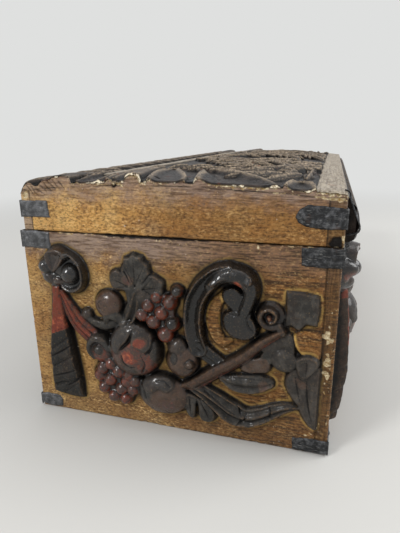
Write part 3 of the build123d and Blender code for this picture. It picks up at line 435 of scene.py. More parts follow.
def leaf_section(ridge=0.0, hollow=0.35):
    """A leaf: a ridge with a hollow on either side and a raised lip."""
    def section(t, s):
        side = np.abs(t - ridge) / (1 + np.abs(ridge))
        wave = 1 - hollow * np.sin(np.clip(side / 0.85, 0, 1) * pi) ** 2
        return wave * np.clip(1 - np.clip(side - 0.8, 0, 1) * 2.2, 0.2, 1)
    return section


def strands(count, depth=0.3):
    """Parallel rounded strands with grooves between."""
    def section(t, s):
        wave = np.abs(np.sin((t + 1) / 2 * count * pi))
        return (1 - depth + depth * wave ** 0.6) * np.clip(1 - t * t, 0, 1) ** 0.25
    return section


def depth_inside(u, v, line):
    """Distance of each point inside a closed line, negative outside it."""
    nearest = np.full(u.shape, 1e9)
    within = np.zeros(u.shape, bool)
    for (au, av), (bu, bv) in zip(line, np.roll(line, -1, axis=0)):
        length = (bu - au) ** 2 + (bv - av) ** 2 + 1e-9
        t = np.clip(((u - au) * (bu - au) + (v - av) * (bv - av)) / length, 0, 1)
        nearest = np.minimum(nearest, np.hypot(u - au - t * (bu - au), v - av - t * (bv - av)))
        if av != bv:
            crosses = (av > v) != (bv > v)
            within ^= crosses & (u < (bu - au) * (v - av) / (bv - av) + au)
    return np.where(within, nearest, -nearest)


WALL = 4.5                 # mm of height per mm inwards, where a form stands up from the ground
BALL_WALL = 9.0
MOST_RELIEF, TOP_ROUNDING = 15.0, 2.2
FACE_GRID, LID_GRID, MOULDING_GRID, IRON_GRID = 0.6, 0.8, 0.7, 0.4      # mm between points of a carving


class Carving:
    """A carved face: heights in millimetres over its board, on an even grid, with the motif
    that each grid point belongs to and the pigment it is painted with."""

    def __init__(self, width, height, step):
        self.step = step
        across = np.linspace(0, width, round(width / step) + 1)
        up = np.linspace(0, height, round(height / step) + 1)
        self.across, self.up = np.meshgrid(across, up, indexing="ij")
        self.owner = np.zeros(self.across.shape, int)
        self.height, self.pigment, self.line, self.hollow, self.chip, self.plain = (
            np.zeros(self.across.shape) for value in range(6))
        self.motifs = ["ground"]
        self.current = 0

    def start(self, motif):
        if motif not in self.motifs:
            self.motifs.append(motif)
        self.current = self.motifs.index(motif)

    def window(self, low, high):
        """The part of the grid between two corners."""
        last = np.array(self.across.shape) - 1
        first = np.clip(np.floor(np.array(low) / self.step).astype(int), 0, last)
        end = np.clip(np.ceil(np.array(high) / self.step).astype(int), 0, last) + 1
        return slice(first[0], end[0]), slice(first[1], end[1])

    def lay(self, where, top, inside, pigment, wall=WALL):
        """Carve a form where it stands higher than what is there."""
        form = np.minimum(top, wall * inside)
        over = form > self.height[where]
        self.height[where][over] = form[over]
        self.owner[where][over] = self.current
        self.line[where][over] = 0
        self.pigment[where][over] = pigment[over] if isinstance(pigment, np.ndarray) else pigment

    def oval(self, u, v, half_u, half_v, turn):
        """For the grid around a turned oval: distance from its centre, as a share of its radius."""
        reach = max(half_u, half_v)
        where = self.window((u - reach, v - reach), (u + reach, v + reach))
        du, dv = self.across[where] - u, self.up[where] - v
        c, s = cos(radians(turn)), sin(radians(turn))
        return where, np.hypot((du * c + dv * s) / half_u, (dv * c - du * s) / half_v)

    def boss(self, u, v, half_u, half_v, rise, pigment=BLACK, turn=0.0, full=2.0, low=0.0, top_pigment=None):
        """A rounded form: ball, berry, fruit or lobe."""
        where, far = self.oval(u, v, half_u, half_v, turn)
        dome = np.clip(1 - far ** full, 0, 1) ** (1 / full)
        if top_pigment is not None:
            share = np.clip((dome + 0.35 * (self.up[where] - v) / half_v - 0.62) / 0.25, 0, 1)
            pigment = pigment + (top_pigment - pigment) * share
        self.lay(where, low + (rise - low) * dome, (1 - far) * min(half_u, half_v), pigment, BALL_WALL)

    def follow(self, stations):
        """For the grid around a line: offset from it, as a share of the half width there, distance
        inside its edge, share of its length, and rise."""
        line = smooth(stations, max(self.step, 0.8))
        reach = line[:, 2].max() + 1
        where = self.window(line[:, :2].min(0) - reach, line[:, :2].max(0) + reach)
        u, v = self.across[where], self.up[where]
        nearest = np.full(u.shape, 1e9)
        index = np.zeros(u.shape, int)
        for place, (pu, pv) in enumerate(line[:, :2]):
            far = (u - pu) ** 2 + (v - pv) ** 2
            closer = far < nearest
            nearest[closer] = far[closer]
            index[closer] = place
        forward = np.gradient(line[:, :2], axis=0)
        forward /= np.hypot(forward[:, 0], forward[:, 1])[:, None]
        du, dv = u - line[index, 0], v - line[index, 1]
        side = forward[index, 0] * dv - forward[index, 1] * du
        half = np.maximum(line[index, 2], 0.05)
        far = np.sqrt(nearest)
        offset = np.clip(np.copysign(far, side) / half, -1, 1)
        return where, offset, half - far, index / (len(line) - 1), line[index, 3]

    def strip(self, stations, section=None, pigment=BLACK, wall=WALL):
        """A form carved along a line of stations (across, up, half width, rise)."""
        where, offset, inside, share, rise = self.follow(stations)
        section = section or crown()
        paint = pigment(offset, share) if callable(pigment) else pigment
        self.lay(where, rise * section(offset, share), inside, paint, wall)

    def inside_of(self, line):
        """For the grid around a closed line: how far inside it each point lies."""
        where = self.window(line.min(0) - 1, line.max(0) + 1)
        return where, depth_inside(self.across[where], self.up[where], line)

    def slab(self, outline, rise, pigment=BLACK, bevel=1.5, dish=0.0, slope=(0.0, 0.0), rounded=True,
             wall=WALL):
        """A low form with a closed outline, flat, dished or sloping, with a soft edge."""
        line = smooth(outline, 1.5, closed=True) if rounded else np.array(outline, float)
        where, inside = self.inside_of(line)
        u, v = self.across[where], self.up[where]
        centre = line.mean(0)
        edge = np.clip(inside / bevel, 0, 1)
        deepest = max(inside.max(), 1e-6)
        top = rise * (0.55 + 0.45 * np.sqrt(edge * (2 - edge)))
        top = top - dish * np.clip((inside - bevel) / max(deepest - bevel, 1e-6), 0, 1) ** 0.7
        top = top + slope[0] * (u - centre[0]) + slope[1] * (v - centre[1])
        self.lay(where, top, inside, pigment, wall)

    def skin(self, outline, thickness, pigment=BLACK, bevel=1.6):
        """A leaf that lies close over the form below it."""
        where, inside = self.inside_of(smooth(outline, 1.5, closed=True))
        edge = np.clip(inside / bevel, 0, 1)
        below = self.height[where]
        lift = thickness * np.sqrt(edge * (2 - edge)) * (below > 1.5)
        self.lay(where, below + lift, inside + below, pigment)

    def tint(self, u, v, half_u, half_v, pigment, turn=0.0):
        """A soft oval patch of another pigment, on this motif only."""
        where, far = self.oval(u, v, half_u, half_v, turn)
        share = np.clip((1 - far) / 0.4, 0, 1) * (self.owner[where] == self.current)
        self.pigment[where] += (pigment - self.pigment[where]) * share

    def groove(self, stations, dark=0.8):
        """A cut along a line of stations (across, up, half width, depth), in this motif only."""
        where, offset, inside, share, depth = self.follow(stations)
        cut = np.where((inside > 0) & (self.owner[where] == self.current), 1 - offset ** 2, 0)
        cut *= np.clip(self.height[where] / 1.5, 0, 1)
        self.height[where] -= depth * cut
        # Painted shade: the cut is darkened by the share dark.
        self.line[where] = np.maximum(self.line[where], dark * cut)

    def chip_edge(self, away, reach, share, seed, deep=1.0, pale=1.0, size=2.4):
        """Knock chips of a size out of an edge that each grid point is so far away from."""
        shape = self.height.shape
        rough = lumps(shape, size / self.step, seed) + 0.6 * lumps(shape, 0.5 * size / self.step, seed + 1)
        rough += 0.9 * lumps(shape, 11 / self.step, seed + 2)
        bite = np.clip((rough + share - away / reach) / 0.4, 0, 1)
        self.height -= deep * bite
        self.chip = np.maximum(self.chip, pale * bite)

    def round_edge(self, away, radius):
        """Round an edge over, as wear does."""
        inner = np.clip(radius - away, 0, radius)
        self.height -= radius - np.sqrt(radius ** 2 - inner ** 2)

    def crack(self, stations, dark=1.0):
        """A joint or a split, whatever it crosses."""
        where, offset, inside, share, depth = self.follow(stations)
        cut = np.where(inside > 0, 1 - offset ** 2, 0)
        self.height[where] -= depth * cut
        for values in (self.line, self.hollow):
            values[where] = np.maximum(values[where], dark * cut)

    def settle(self, seed, marks=1.0, soft=0.5):
        """Chisel marks, then the wear-and-highlight, hollow, foot and near shares that the paints read."""
        shape = self.height.shape
        standing = self.owner > 0
        cuts = 0.16 * lumps(shape, 2.2 / self.step, seed) + 0.22 * lumps(shape, 6 / self.step, seed + 1)
        cuts *= marks
        self.height += np.where(standing, cuts * np.clip(self.height / 2, 0, 1), 0.35 * cuts)
        # No form stands out further than the wood that it was carved from: what would is pressed together.
        spare = np.maximum(self.height - MOST_RELIEF, 0)
        self.height -= spare - TOP_ROUNDING * (1 - np.exp(-spare / TOP_ROUNDING))
        self.height += soft * (blurred(self.height, 1) - self.height)
        fine = self.height - blurred(self.height, 0.9 / self.step)
        broad = self.height - blurred(self.height, 2.6 / self.step)
        wide = self.height - blurred(self.height, 7 / self.step)
        slope = np.hypot(*np.gradient(self.height, self.step))
        # Handling wears the ridges but not the steep sides, and the wear share is also a painted highlight
        # there. Dirt settles in grooves and low places, and the hollow share adds painted shade there and on
        # steep sides.
        self.wear = np.clip((fine - 0.22) / 0.8, 0, 1) * np.clip(1.6 - 0.8 * slope, 0, 1)
        self.hollow = np.clip(-fine / 0.5, 0, 1) * 0.6 + np.clip(-broad / 1.4, 0, 1) * 0.5 + self.line
        self.hollow += np.where(standing, np.clip(-wide / 6, 0, 0.5) + np.clip((slope - 1.2) / 3, 0, 0.4), 0)
        self.foot = np.where(standing, np.clip(1 - self.height / 0.9, 0, 1), 0)
        spread = blurred(standing.astype(float), 1.8 / self.step)
        self.near = np.clip(spread * 2.0, 0, 1)


# ------------------------ carved motifs
# All are drawn on a field 230 mm wide and 150 mm high: across from the rear, up from the underside.
def carve_rosette(face):
    """Leaf rosette: dished shell petal at the top, ball petals, and a curled outer leaf."""
    face.start("rosette")
    def leaning_back(t, s):
        return 0.25 + 0.75 * np.clip(1 - (t - 0.35) ** 2 / 1.9, 0, 1) ** 0.8
    face.boss(37, 120.5, 15, 13.6, 3.4, full=4)
    face.boss(27.5, 121, 14, 13, 5, full=3)
    face.strip([(36, 137.5, 1.8, 6), (40, 135.6, 2.2, 7), (45.4, 132, 2.5, 7.6), (49.4, 126.4, 2.6, 8),
                (51, 119, 2.6, 8), (49.6, 112.4, 2.6, 7.6), (44.6, 108.2, 2.8, 7.4), (38.5, 107.4, 2.6, 7),
                (33, 109.5, 2, 6)], leaning_back)
    face.slab([(27.4, 119.5), (23.4, 125), (20.8, 131.5), (21.4, 136), (26, 139.6), (32, 141), (38, 139.2),
               (41.4, 134.6), (38.6, 129.5), (33.4, 124)], 9.2, 0.10, bevel=1.8, dish=4.2, slope=(0.05, 0.16))
    face.groove([(27.6, 121, 0.6, 0.7), (26.6, 129, 0.9, 0.9), (26.2, 137, 0.5, 0.5)], 0.3)
    face.groove([(29, 121, 0.6, 0.7), (33, 129, 0.9, 0.9), (35.6, 136.5, 0.5, 0.5)], 0.3)
    face.boss(38.6, 133.8, 3.4, 3.4, 10)
    face.boss(20.6, 124.6, 6.8, 6.2, 9, turn=-25)
    face.tint(16, 121, 3.5, 4, DARK_RED)
    face.boss(22.4, 116, 6.6, 5.4, 7.4, 0.06, turn=-30)
    face.boss(30, 114.4, 6, 4.6, 6.4, 0.14)
    face.boss(41, 120.2, 7.8, 8.4, 11.5)
    face.groove([(24, 119.6, 0.5, 1.5), (28, 119.8, 0.7, 2), (32, 117.6, 0.6, 1.8)])
    face.groove([(26, 116.4, 0.5, 1.4), (30, 117.6, 0.6, 1.4), (34, 115.4, 0.6, 1.8)])


def carve_drapery(face):
    """Hanging cloth: a flat face that widens downwards between bevelled sides, stepped by folds."""
    face.start("drapery")
    where = face.window((12, 12), (50, 112))
    u, v = face.across[where], face.up[where]
    left = np.interp(v, (18, 54, 81, 110), (13.4, 15.6, 19.2, 22.2))
    right = np.interp(v, (18, 30, 54, 79, 110), (42.4, 42, 39.2, 35.6, 30.2))
    low = 14.6 + 0.010 * (u - 34) ** 2
    inside = np.minimum(np.minimum(u - left, right - u), v - low)
    inside = np.minimum(inside, 110 - v)
    rise = np.interp(v, (16, 19, 30, 54, 79, 110), (2.6, 4.2, 6, 8.3, 7.6, 4.6))
    bevel = np.clip((u - left) / 3.4, 0, 1)
    top = rise * (0.35 + 0.65 * bevel)
    for start, lean, drop in ((66.5, 0.72, 1.3), (50.5, 0.62, 1.5), (30.5, 0.45, 1.4), (23.5, 0.8, 0.9)):
        fold = v - (start + lean * (u - 30))
        top = top - drop * np.clip(1 - np.abs(fold + 1.2) / 1.8, 0, 1)
    line = 72.5 + 0.42 * (u - 24)
    pigment = np.where(v > line, np.where(v > line + 12, 0.72, 0.86), BLACK)
    pigment = np.where((u - left < 3.2) & (v < 104), 0.12, pigment)
    face.lay(where, top, inside, pigment)
    for points in (
        [(18.5, 51.5, 0.7, 1.6), (28, 57, 0.8, 2), (40, 65, 0.7, 1.6)],
        [(18, 33.5, 0.7, 1.5), (28, 37, 0.8, 1.8), (38, 41.5, 0.6, 1.4)],
        [(30, 26.5, 0.7, 1.6), (37, 31, 0.9, 2), (45, 38, 0.7, 1.6)],
        [(17, 24.5, 0.6, 1.4), (24, 28.5, 0.7, 1.6), (30, 30, 0.5, 1)],
    ):
        face.groove(points)
    face.groove([(24.6, 74, 0.4, 0.8), (30, 76.2, 0.4, 1), (37.5, 79.5, 0.4, 0.8)], 0.5)


def carve_ribbon(face):
    """Ribbon of three strands that fans out from the rosette to the fruit."""
    face.start("ribbon")
    def paint(offset, share):
        return np.where(offset > 0.15, 0.62, np.where(offset > -0.45, 0.76, 0.52))
    face.strip([(31, 104.5, 2.8, 4.5), (35.2, 96, 4.2, 5), (39.8, 86.5, 6.4, 5.5), (45.8, 78.7, 7.6, 6),
                (55, 71, 8.2, 6)], strands(3, 0.45), paint)


def carve_fruit(face):
    """Fruit of the swag: the pomegranate stands highest, under its three cap leaves."""
    face.start("fruit")
    # Round fruit with a spiral dimple.
    face.boss(70, 98.4, 11.6, 11.6, 9.5, BROWN + 0.02)
    face.groove([(66.7, 103.1, 0.8, 1), (63.7, 101.1, 0.9, 1.3), (64.2, 97.8, 0.8, 1.1),
                 (67, 97.4, 0.7, 0.8)], 0.5)
    face.boss(65.6, 100.2, 1.7, 1.7, 9.6, BROWN)
    face.boss(50.8, 88.8, 4.9, 4.9, 5.5, BLACK + 0.06)
    # Olive in its curl.
    face.boss(61.2, 60.6, 10.4, 11.2, 7.6, 0.5, turn=35)
    face.tint(59.3, 52.6, 9, 4, 0.7)
    face.strip([(55.4, 54.8, 2.8, 7), (52.4, 60.6, 3.4, 8.5), (53.8, 67.6, 4, 9.5), (59.8, 72.2, 4.6, 10.2),
                (66.2, 70, 4.4, 9.8), (69, 64.1, 3.8, 8.6), (72.3, 67.1, 3.4, 8.6), (75.3, 72.6, 2.6, 8)],
               crown(0.3), BLACK)
    face.boss(60.6, 62.4, 5.6, 5.4, 9.8, BLACK)
    # Pomegranate, with three cap leaves that lie close over it.
    face.boss(89.2, 65.6, 21.2, 22.8, 14.2, 0.46, turn=-8)
    face.tint(100.4, 59, 11, 12, 0.56)
    face.tint(79.4, 56, 10, 9, 0.36)
    face.tint(87.6, 62.6, 5.8, 6.4, 0.96)
    face.tint(87.4, 52.5, 8.5, 6, 0.12)
    face.skin([(71.9, 73), (73.9, 80), (79.4, 86.5), (85.4, 89), (92.9, 88.5), (91.4, 82), (88.8, 77),
               (86.9, 73.6), (82.8, 71), (80.8, 66), (75.9, 65)], 1.9, 0.03)
    face.skin([(92, 88.4), (98.4, 87), (104, 82), (106.2, 76), (104.2, 70.6), (100.8, 68), (95.9, 71.2),
               (90.8, 74.4), (90, 80)], 1.8, 0.03)
    face.tint(97, 75.6, 6, 4.6, 0.78)
    face.skin([(102.9, 83), (108.4, 79.5), (112.4, 71.5), (112, 62), (109, 55.4), (105.8, 60.5), (103.6, 68),
               (104.2, 75)], 1.9, 0.02)
    face.groove([(92.8, 89, 0.6, 1.6), (90.6, 82, 0.8, 2.2), (89, 76.6, 1.5, 3.4), (84.8, 71.6, 1.3, 2.6),
                 (82, 68.6, 0.6, 1.2)], 1)
    face.groove([(101.2, 66.8, 0.7, 1.6), (104.6, 70.2, 1, 2.4), (106, 77, 0.7, 1.6)], 0.9)
    face.groove([(82.8, 64.4, 0.6, 1.4), (83.8, 58.6, 0.9, 2.2), (87.9, 55.2, 0.9, 2),
                 (92.4, 55.6, 0.6, 1.4)], 0.9)
    face.strip([(86.4, 56.5, 2.2, 13.4), (90.4, 51.5, 4.2, 12.4), (93.8, 47.4, 1.5, 8.5)], crown(0.7), 0.05)
    face.groove([(97.9, 66.5, 0.5, 1), (99.8, 58, 0.7, 1.6), (97, 50.5, 0.9, 1.8)], 0.9)
    # Fig, with its eye and a dent.
    face.boss(125.8, 60.6, 12.6, 13.2, 9.6, 0.22, turn=-20)
    face.boss(122.6, 71, 8, 8.6, 8.8, 0.08, turn=-30)
    face.boss(132.8, 61, 4.4, 4.6, 11, 0.2)
    face.groove([(129.2, 61.5, 0.5, 1.2), (132.8, 65, 0.6, 1.4), (136.2, 61, 0.5, 1.2),
                 (132.8, 57.2, 0.5, 1.2), (129.6, 60.2, 0.4, 1)], 0.8)
    face.groove([(117.6, 67.4, 0.6, 1.2), (121.8, 68.8, 0.7, 1.4), (124, 64.6, 0.7, 1.4),
                 (121.6, 60.2, 0.6, 1.2), (118.6, 62.6, 0.5, 1)], 0.8)
    face.tint(120.8, 64.6, 3.6, 4.6, BLACK)
    # Apple under its cap leaf.
    face.boss(110, 31.2, 20.8, 17.2, 11.2, 0.24, turn=-8)
    face.tint(96.7, 36, 9.5, 12, BLACK)
    face.tint(116.2, 26, 11, 8, 0.36)
    face.skin([(94.7, 40.5), (97.7, 46.4), (105.2, 49.8), (113.7, 50.4), (119.7, 46.2), (120.7, 41),
               (116.2, 37.4), (110.2, 39), (104.7, 36.2), (99.7, 35.2)], 2, 0.03)
    face.groove([(107.7, 44.5, 0.7, 1.2), (113.2, 44.8, 0.8, 1.6), (118.2, 41.5, 0.7, 1.4)], 0.9)
    face.groove([(97.2, 34.5, 0.7, 1.6), (98.7, 29.5, 0.9, 1.8)], 0.9)
    face.boss(116.6, 21, 2.2, 2, 9, 0.1)
    face.groove([(114, 20.8, 0.5, 0.9), (116.6, 18.4, 0.6, 1), (119.4, 21, 0.5, 0.9)], 0.5)


UPPER_GRAPES = [
    (123.1, 113.7, 4.3), (108.2, 108.1, 4.2), (117.8, 105.2, 4.9), (101.6, 101.4, 4.8),
    (111.6, 97, 5.2), (96.8, 93.7, 4.8), (105.4, 89.4, 5.4), (119.3, 89.4, 5.2), (114, 80.8, 5.9),
]
LOWER_GRAPES = [
    (61.6, 46, 4.9), (58.7, 40.1, 4.9), (68.8, 50.9, 4.9), (75, 45, 5.0), (67.8, 37.2, 5.1),
    (61.9, 29.9, 4.9), (83.4, 44, 4.9), (81.5, 37.6, 4.9), (76.6, 30.8, 5.0), (69.7, 23.2, 4.8),
    (85.9, 31.2, 4.7), (79.5, 22.2, 4.6), (88.4, 38.7, 4.6),
]


def carve_grapes(face):
    """Two bunches: the upper one red with black tops, the lower one a duller red."""
    face.start("grapes")
    # Wood left dark between the berries.
    face.slab([(122.7, 115.4), (117.2, 111.4), (107.2, 110.4), (99.7, 104.4), (94.2, 96.4), (95.7, 90.4),
               (102.2, 85.4), (110.2, 77.4), (117.2, 77.9), (123.2, 86.4), (121.2, 97.4), (124.2, 106.4)],
              3.6, 0.56, bevel=3)
    face.slab([(58.4, 47.2), (70.4, 54.2), (86.4, 47.2), (92.4, 38.2), (88.4, 27.2), (80.4, 18.7),
               (69.4, 18.7), (57.4, 28.2), (54.9, 39.2)], 3.6, 0.56, bevel=3)
    for place, (u, v, radius) in enumerate(UPPER_GRAPES):
        dark_top = BLACK if place in (0, 7) else 0.48
        face.boss(u, v, 1.16 * radius, 1.16 * radius, radius + 3.8, 0.64 + 0.08 * (place % 3),
                  top_pigment=dark_top)
    for place, (u, v, radius) in enumerate(LOWER_GRAPES):
        face.boss(u, v, 1.18 * radius, 1.18 * radius, radius + 3.6, 0.58 + 0.10 * (place % 3),
                  top_pigment=0.50)


def carve_scroll(face):
    """The C-scroll: a hollowed limb that rises, a round limb that turns over it, two lobes."""
    face.start("scroll")
    face.strip([(138.5, 72.5, 7.2, 5.5), (135.6, 84, 7.6, 8), (134.9, 97, 7.8, 9), (137, 109.5, 7.9, 9.5),
                (143.2, 120.5, 7.8, 10), (152.5, 128.5, 7.4, 10.5), (160, 131.5, 6.4, 9)], channel(0.72, 0.5))
    face.groove([(138, 76, 4.6, 0.5), (135.6, 84, 4.8, 0.6), (134.9, 97, 4.8, 0.6), (137, 109.5, 4.8, 0.6),
                 (142.6, 119.5, 4, 0.4)], 0.45)
    # The two flat lobes that the round limb ends between.
    face.slab([(155.5, 118), (160, 120.8), (166, 120), (171, 113), (170, 104.5), (164, 103), (158.5, 106.5),
               (155, 112)], 4.6, BLACK, bevel=2.4, dish=0.5)
    face.slab([(154.8, 97), (157.5, 102.5), (162, 104.6), (170, 105), (177, 101), (180.6, 93.5),
               (178.6, 86.6), (171.5, 82.8), (163, 83.4), (157, 88.5)], 6, BLACK, bevel=4, slope=(0.12, 0.04))
    face.strip([(146.4, 120.6, 3.8, 8.5), (151, 125.2, 5.6, 10), (158, 129, 6.8, 10.8),
                (165.4, 129.4, 7.3, 11.4), (171.6, 126.2, 7.2, 11.6), (174.8, 119.8, 6.2, 11),
                (173.8, 112.4, 5.4, 9.8), (171.4, 105.4, 5.4, 8.6), (170.4, 99, 6.6, 7.6),
                (169.6, 93, 7.6, 6.4)], crown(0.12))
    # Its back is rubbed flat and bright in two places.
    face.slab([(146.6, 123.6), (150, 127.8), (156, 132), (162.6, 133.8), (166, 132.2), (162.6, 128.6),
               (156, 125.8), (150.4, 121.8)], 11.2, BLACK, bevel=1.2, slope=(0.16, -0.62), wall=40)
    face.slab([(169.4, 130), (172.6, 132.4), (176.4, 130.4), (176.8, 126), (173.6, 124.4), (170.2, 126.4)],
              11.8, BLACK, bevel=1.2, slope=(0.16, -0.62), wall=40)
    face.tint(167, 124.8, 4.2, 2.4, 0.84, turn=-35)
    face.tint(151, 116, 2, 1.2, 0.8)
    face.groove([(176.4, 106.5, 0.6, 1.4), (172.6, 100.2, 0.9, 1.8), (173.6, 95, 0.8, 1.6),
                 (178.6, 90.4, 0.5, 1)], 0.6)
    face.groove([(158.5, 103.4, 0.7, 1.4), (164, 101.4, 0.9, 1.6), (167.5, 103.5, 0.6, 1)], 0.8)
    face.strip([(138.6, 73.5, 6.6, 4.2), (146.5, 67.2, 6.4, 4.2), (155.5, 62, 5.4, 4)], leaf_section(0, 0.3))


def carve_stem(face):
    """The stem: ridged along its upper side, crossing the panel to end in a volute."""
    face.start("stem")
    def ridged(t, s):
        return 0.4 + 0.6 * np.clip(1 - np.abs(t - 0.3) / 1.25, 0, 1) ** 0.8
    def paint(offset, share):
        return np.where(offset < -0.5, 0.5, np.where(offset > 0.6, 0.10, 0.22))
    face.strip([(126, 40, 3.5, 5), (135.5, 44.2, 5.6, 7.4), (150.7, 56.2, 5.6, 7.8), (169.9, 69.9, 5, 7.8),
                (183.3, 83, 4.2, 7.2), (196, 92.4, 3.4, 7)], ridged, paint)
    face.groove([(134, 40.6, 0.6, 0.8), (151.6, 52.6, 0.7, 1), (171, 66.6, 0.7, 1),
                 (184.4, 79.8, 0.5, 0.8)], 0.6)
    face.groove([(136, 47.6, 0.4, 0.6), (150, 59.4, 0.5, 0.7), (168.6, 72.6, 0.5, 0.7)], 0.3)
    stations = []
    for step in range(18):
        share = step / 17
        angle = radians(-48 - 400 * share)
        radius = 7.8 - 4.6 * share
        stations.append((187.6 + radius * cos(angle), 102.6 + radius * sin(angle), 3.5 - 1.1 * share,
                         6.6 + 2.4 * share))
    face.boss(187.6, 102.6, 9.6, 9.6, 3.2, 0.05, full=4)
    face.strip([(196.5, 91.5, 3.2, 6.5), (194.6, 94.6, 3.4, 6.6), *stations], crown(0.15), 0.04)
    face.boss(187.4, 102, 2.6, 2.6, 8.6, 0.5)


def carve_foliage(face):
    """Leaves: the vine leaf, flat leaves by the front edge, and the long acanthus below."""
    face.start("foliage")
    # Vine leaf: lobes of five, each with small teeth, on a broad heart.
    face.slab([(85, 115.8), (82.5, 121.8), (80.6, 126.8), (83, 131.3), (83.6, 136), (88, 136.4),
               (90.6, 139.4), (94.4, 137.8), (98, 137.6), (99.4, 133.8), (102.8, 132), (103.4, 127.4),
               (104.6, 123.2), (101, 117.8)], 4.8, BLACK, 2.5, 0.6)
    face.slab([(88, 109.8), (80.5, 110.4), (76.4, 110.2), (73, 113), (71.6, 116.8), (71.4, 120.8),
               (73.2, 124.4), (77, 126.6), (80.6, 125.4), (84.4, 122.8), (88, 117.8)], 4.4, BLACK, 2.5, 0.6)
    face.slab([(95, 109.8), (101, 105.3), (106, 106.4), (110.6, 108.2), (113.6, 111.4), (113.4, 115.4),
               (114, 119.4), (110.2, 122.8), (106, 124.8), (101.6, 123.8), (97, 118.8)], 4.6, BLACK, 2.5, 0.6)
    face.slab([(86, 97.8), (84, 105.8), (84, 113.8), (92, 119.8), (100, 115.8), (101, 107.8), (98, 99.8),
               (96, 93.8), (90, 91.8)], 4.8, BLACK, 2.5, 0.3)
    for tip in ((92, 137, 0), (83.5, 132, 0), (100.5, 132, 0), (73.5, 119.4, 1), (76.5, 112, 1),
                (112, 116, 2), (107.5, 108, 2),
                (106, 123, 2)):
        root = ((92, 115), (86, 114.4), (98, 113))[tip[2]]
        middle = (0.5 * (root[0] + tip[0]), 0.5 * (root[1] + tip[1]))
        face.groove([(*root, 0.7, 1), (*middle, 0.6, 0.9), (tip[0], tip[1], 0.3, 0.4)], 0.55)
    face.groove([(84.4, 125.2, 0.8, 1.8), (86.6, 121.4, 0.7, 1.6), (88, 118.2, 0.5, 1)], 1)
    face.groove([(103.2, 124.2, 0.8, 1.8), (100, 120.2, 0.7, 1.6), (98, 117.2, 0.5, 1)], 1)
    face.tint(86.5, 118.8, 5.5, 4.5, 0.45)
    # Dark leaf between the round fruit and the grapes, and the curl below the round fruit.
    face.strip([(91.9, 109.2, 3.4, 6), (89.8, 100.2, 5.6, 7.4), (87, 92.2, 6.2, 7.6), (83, 85.8, 4.6, 6)],
               leaf_section(-0.2, 0.4))
    face.strip([(81.9, 87.2, 4.4, 7), (75.4, 91.8, 5.2, 8.2), (70, 91.2, 4.6, 8), (68, 86.8, 3.4, 6.6)],
               crown(0.5))
    face.strip([(50.4, 87.2, 2.6, 4), (56.9, 83.2, 3.4, 4.4), (65.4, 81.6, 4.4, 5), (74.4, 84.8, 4.2, 5.4)],
               crown(0.5))
    # Flat leaves by the front edge.
    face.slab([(197, 120), (208, 120.4), (218, 118.6), (219, 108), (217.5, 97.5), (211, 98.5), (206.4, 93.4),
               (201.4, 96.5), (197, 95.5), (197.6, 108)], 2.6, BLACK, 1.6, 0.5, rounded=False)
    face.slab([(181, 78), (187, 84), (195, 89.5), (201.5, 91.5), (204.2, 84), (205, 76), (201, 73.5),
               (193, 73.4), (186, 74.2)], 3.2, 0.03, 2, 0.4)
    face.slab([(183, 66.5), (181.4, 72), (184, 76.5), (189.6, 76.8), (192.4, 72),
               (189.4, 66.8)], 3.4, BLACK, 2, 0.3)
    face.slab([(221.9, 68.5), (221.9, 56), (221.9, 42), (221.9, 28), (221.6, 20), (217, 22.4), (213.2, 27),
               (210.4, 32.5), (208.2, 38), (205, 41.6), (201.4, 47), (199, 53), (199.6, 59.4), (202.4, 64.6),
               (207, 68), (214, 70.5)], 3.4, 0.04, 2.4, 0.7)
    face.groove([(213.5, 58, 0.6, 1), (214.4, 46, 0.9, 1.6), (216.6, 34, 0.7, 1.2),
                 (219.4, 26, 0.4, 0.6)], 0.4)
    face.groove([(206, 60, 0.5, 0.8), (207.4, 52, 0.7, 1.2), (209.6, 43, 0.5, 0.9)], 0.5)
    face.tint(209.5, 55.5, 6.5, 3.4, 0.3, turn=-35)
    face.slab([(205.6, 75.2), (213, 78.2), (219.6, 76.2), (221.8, 71.8), (218.2, 65.6), (213.6, 60.2),
               (209.4, 59), (206.6, 63.6), (205.2, 69.4)], 5.8, 0.03, 2.6, 0.8, slope=(0, 0.04))
    face.groove([(212.4, 62, 0.5, 0.8), (213, 69, 0.7, 1), (212.6, 75, 0.4, 0.6)], 0.5)
    face.boss(198, 71.2, 8.9, 8.6, 6.4, 0.02, full=3)
    # Brown lobe and black lobe behind the stem.
    face.slab([(168, 60.5), (171.5, 66.5), (178.5, 70.8), (186.2, 71.6), (189.6, 66), (187.6, 60.4),
               (180, 58.6), (173, 57.8)], 3.8, 0.24, 3, 0)
    face.strip([(156, 51, 3, 4.4), (164, 49, 6.6, 5.4), (174.6, 49.4, 7.8, 5.8), (183.4, 51, 6.6, 5.2),
                (188, 52, 4.6, 4.4)], leaf_section(0.25, 0.4))
    face.tint(185, 50, 4.4, 5, 0.42)
    for rib in (0, 1, 2):
        face.groove([(162, 51.6 + 1.7 * rib, 0.4, 0.5), (174, 52.6 + 1.9 * rib, 0.5, 0.6),
                     (185, 53.4 + 1.4 * rib, 0.4, 0.5)], 0.35)
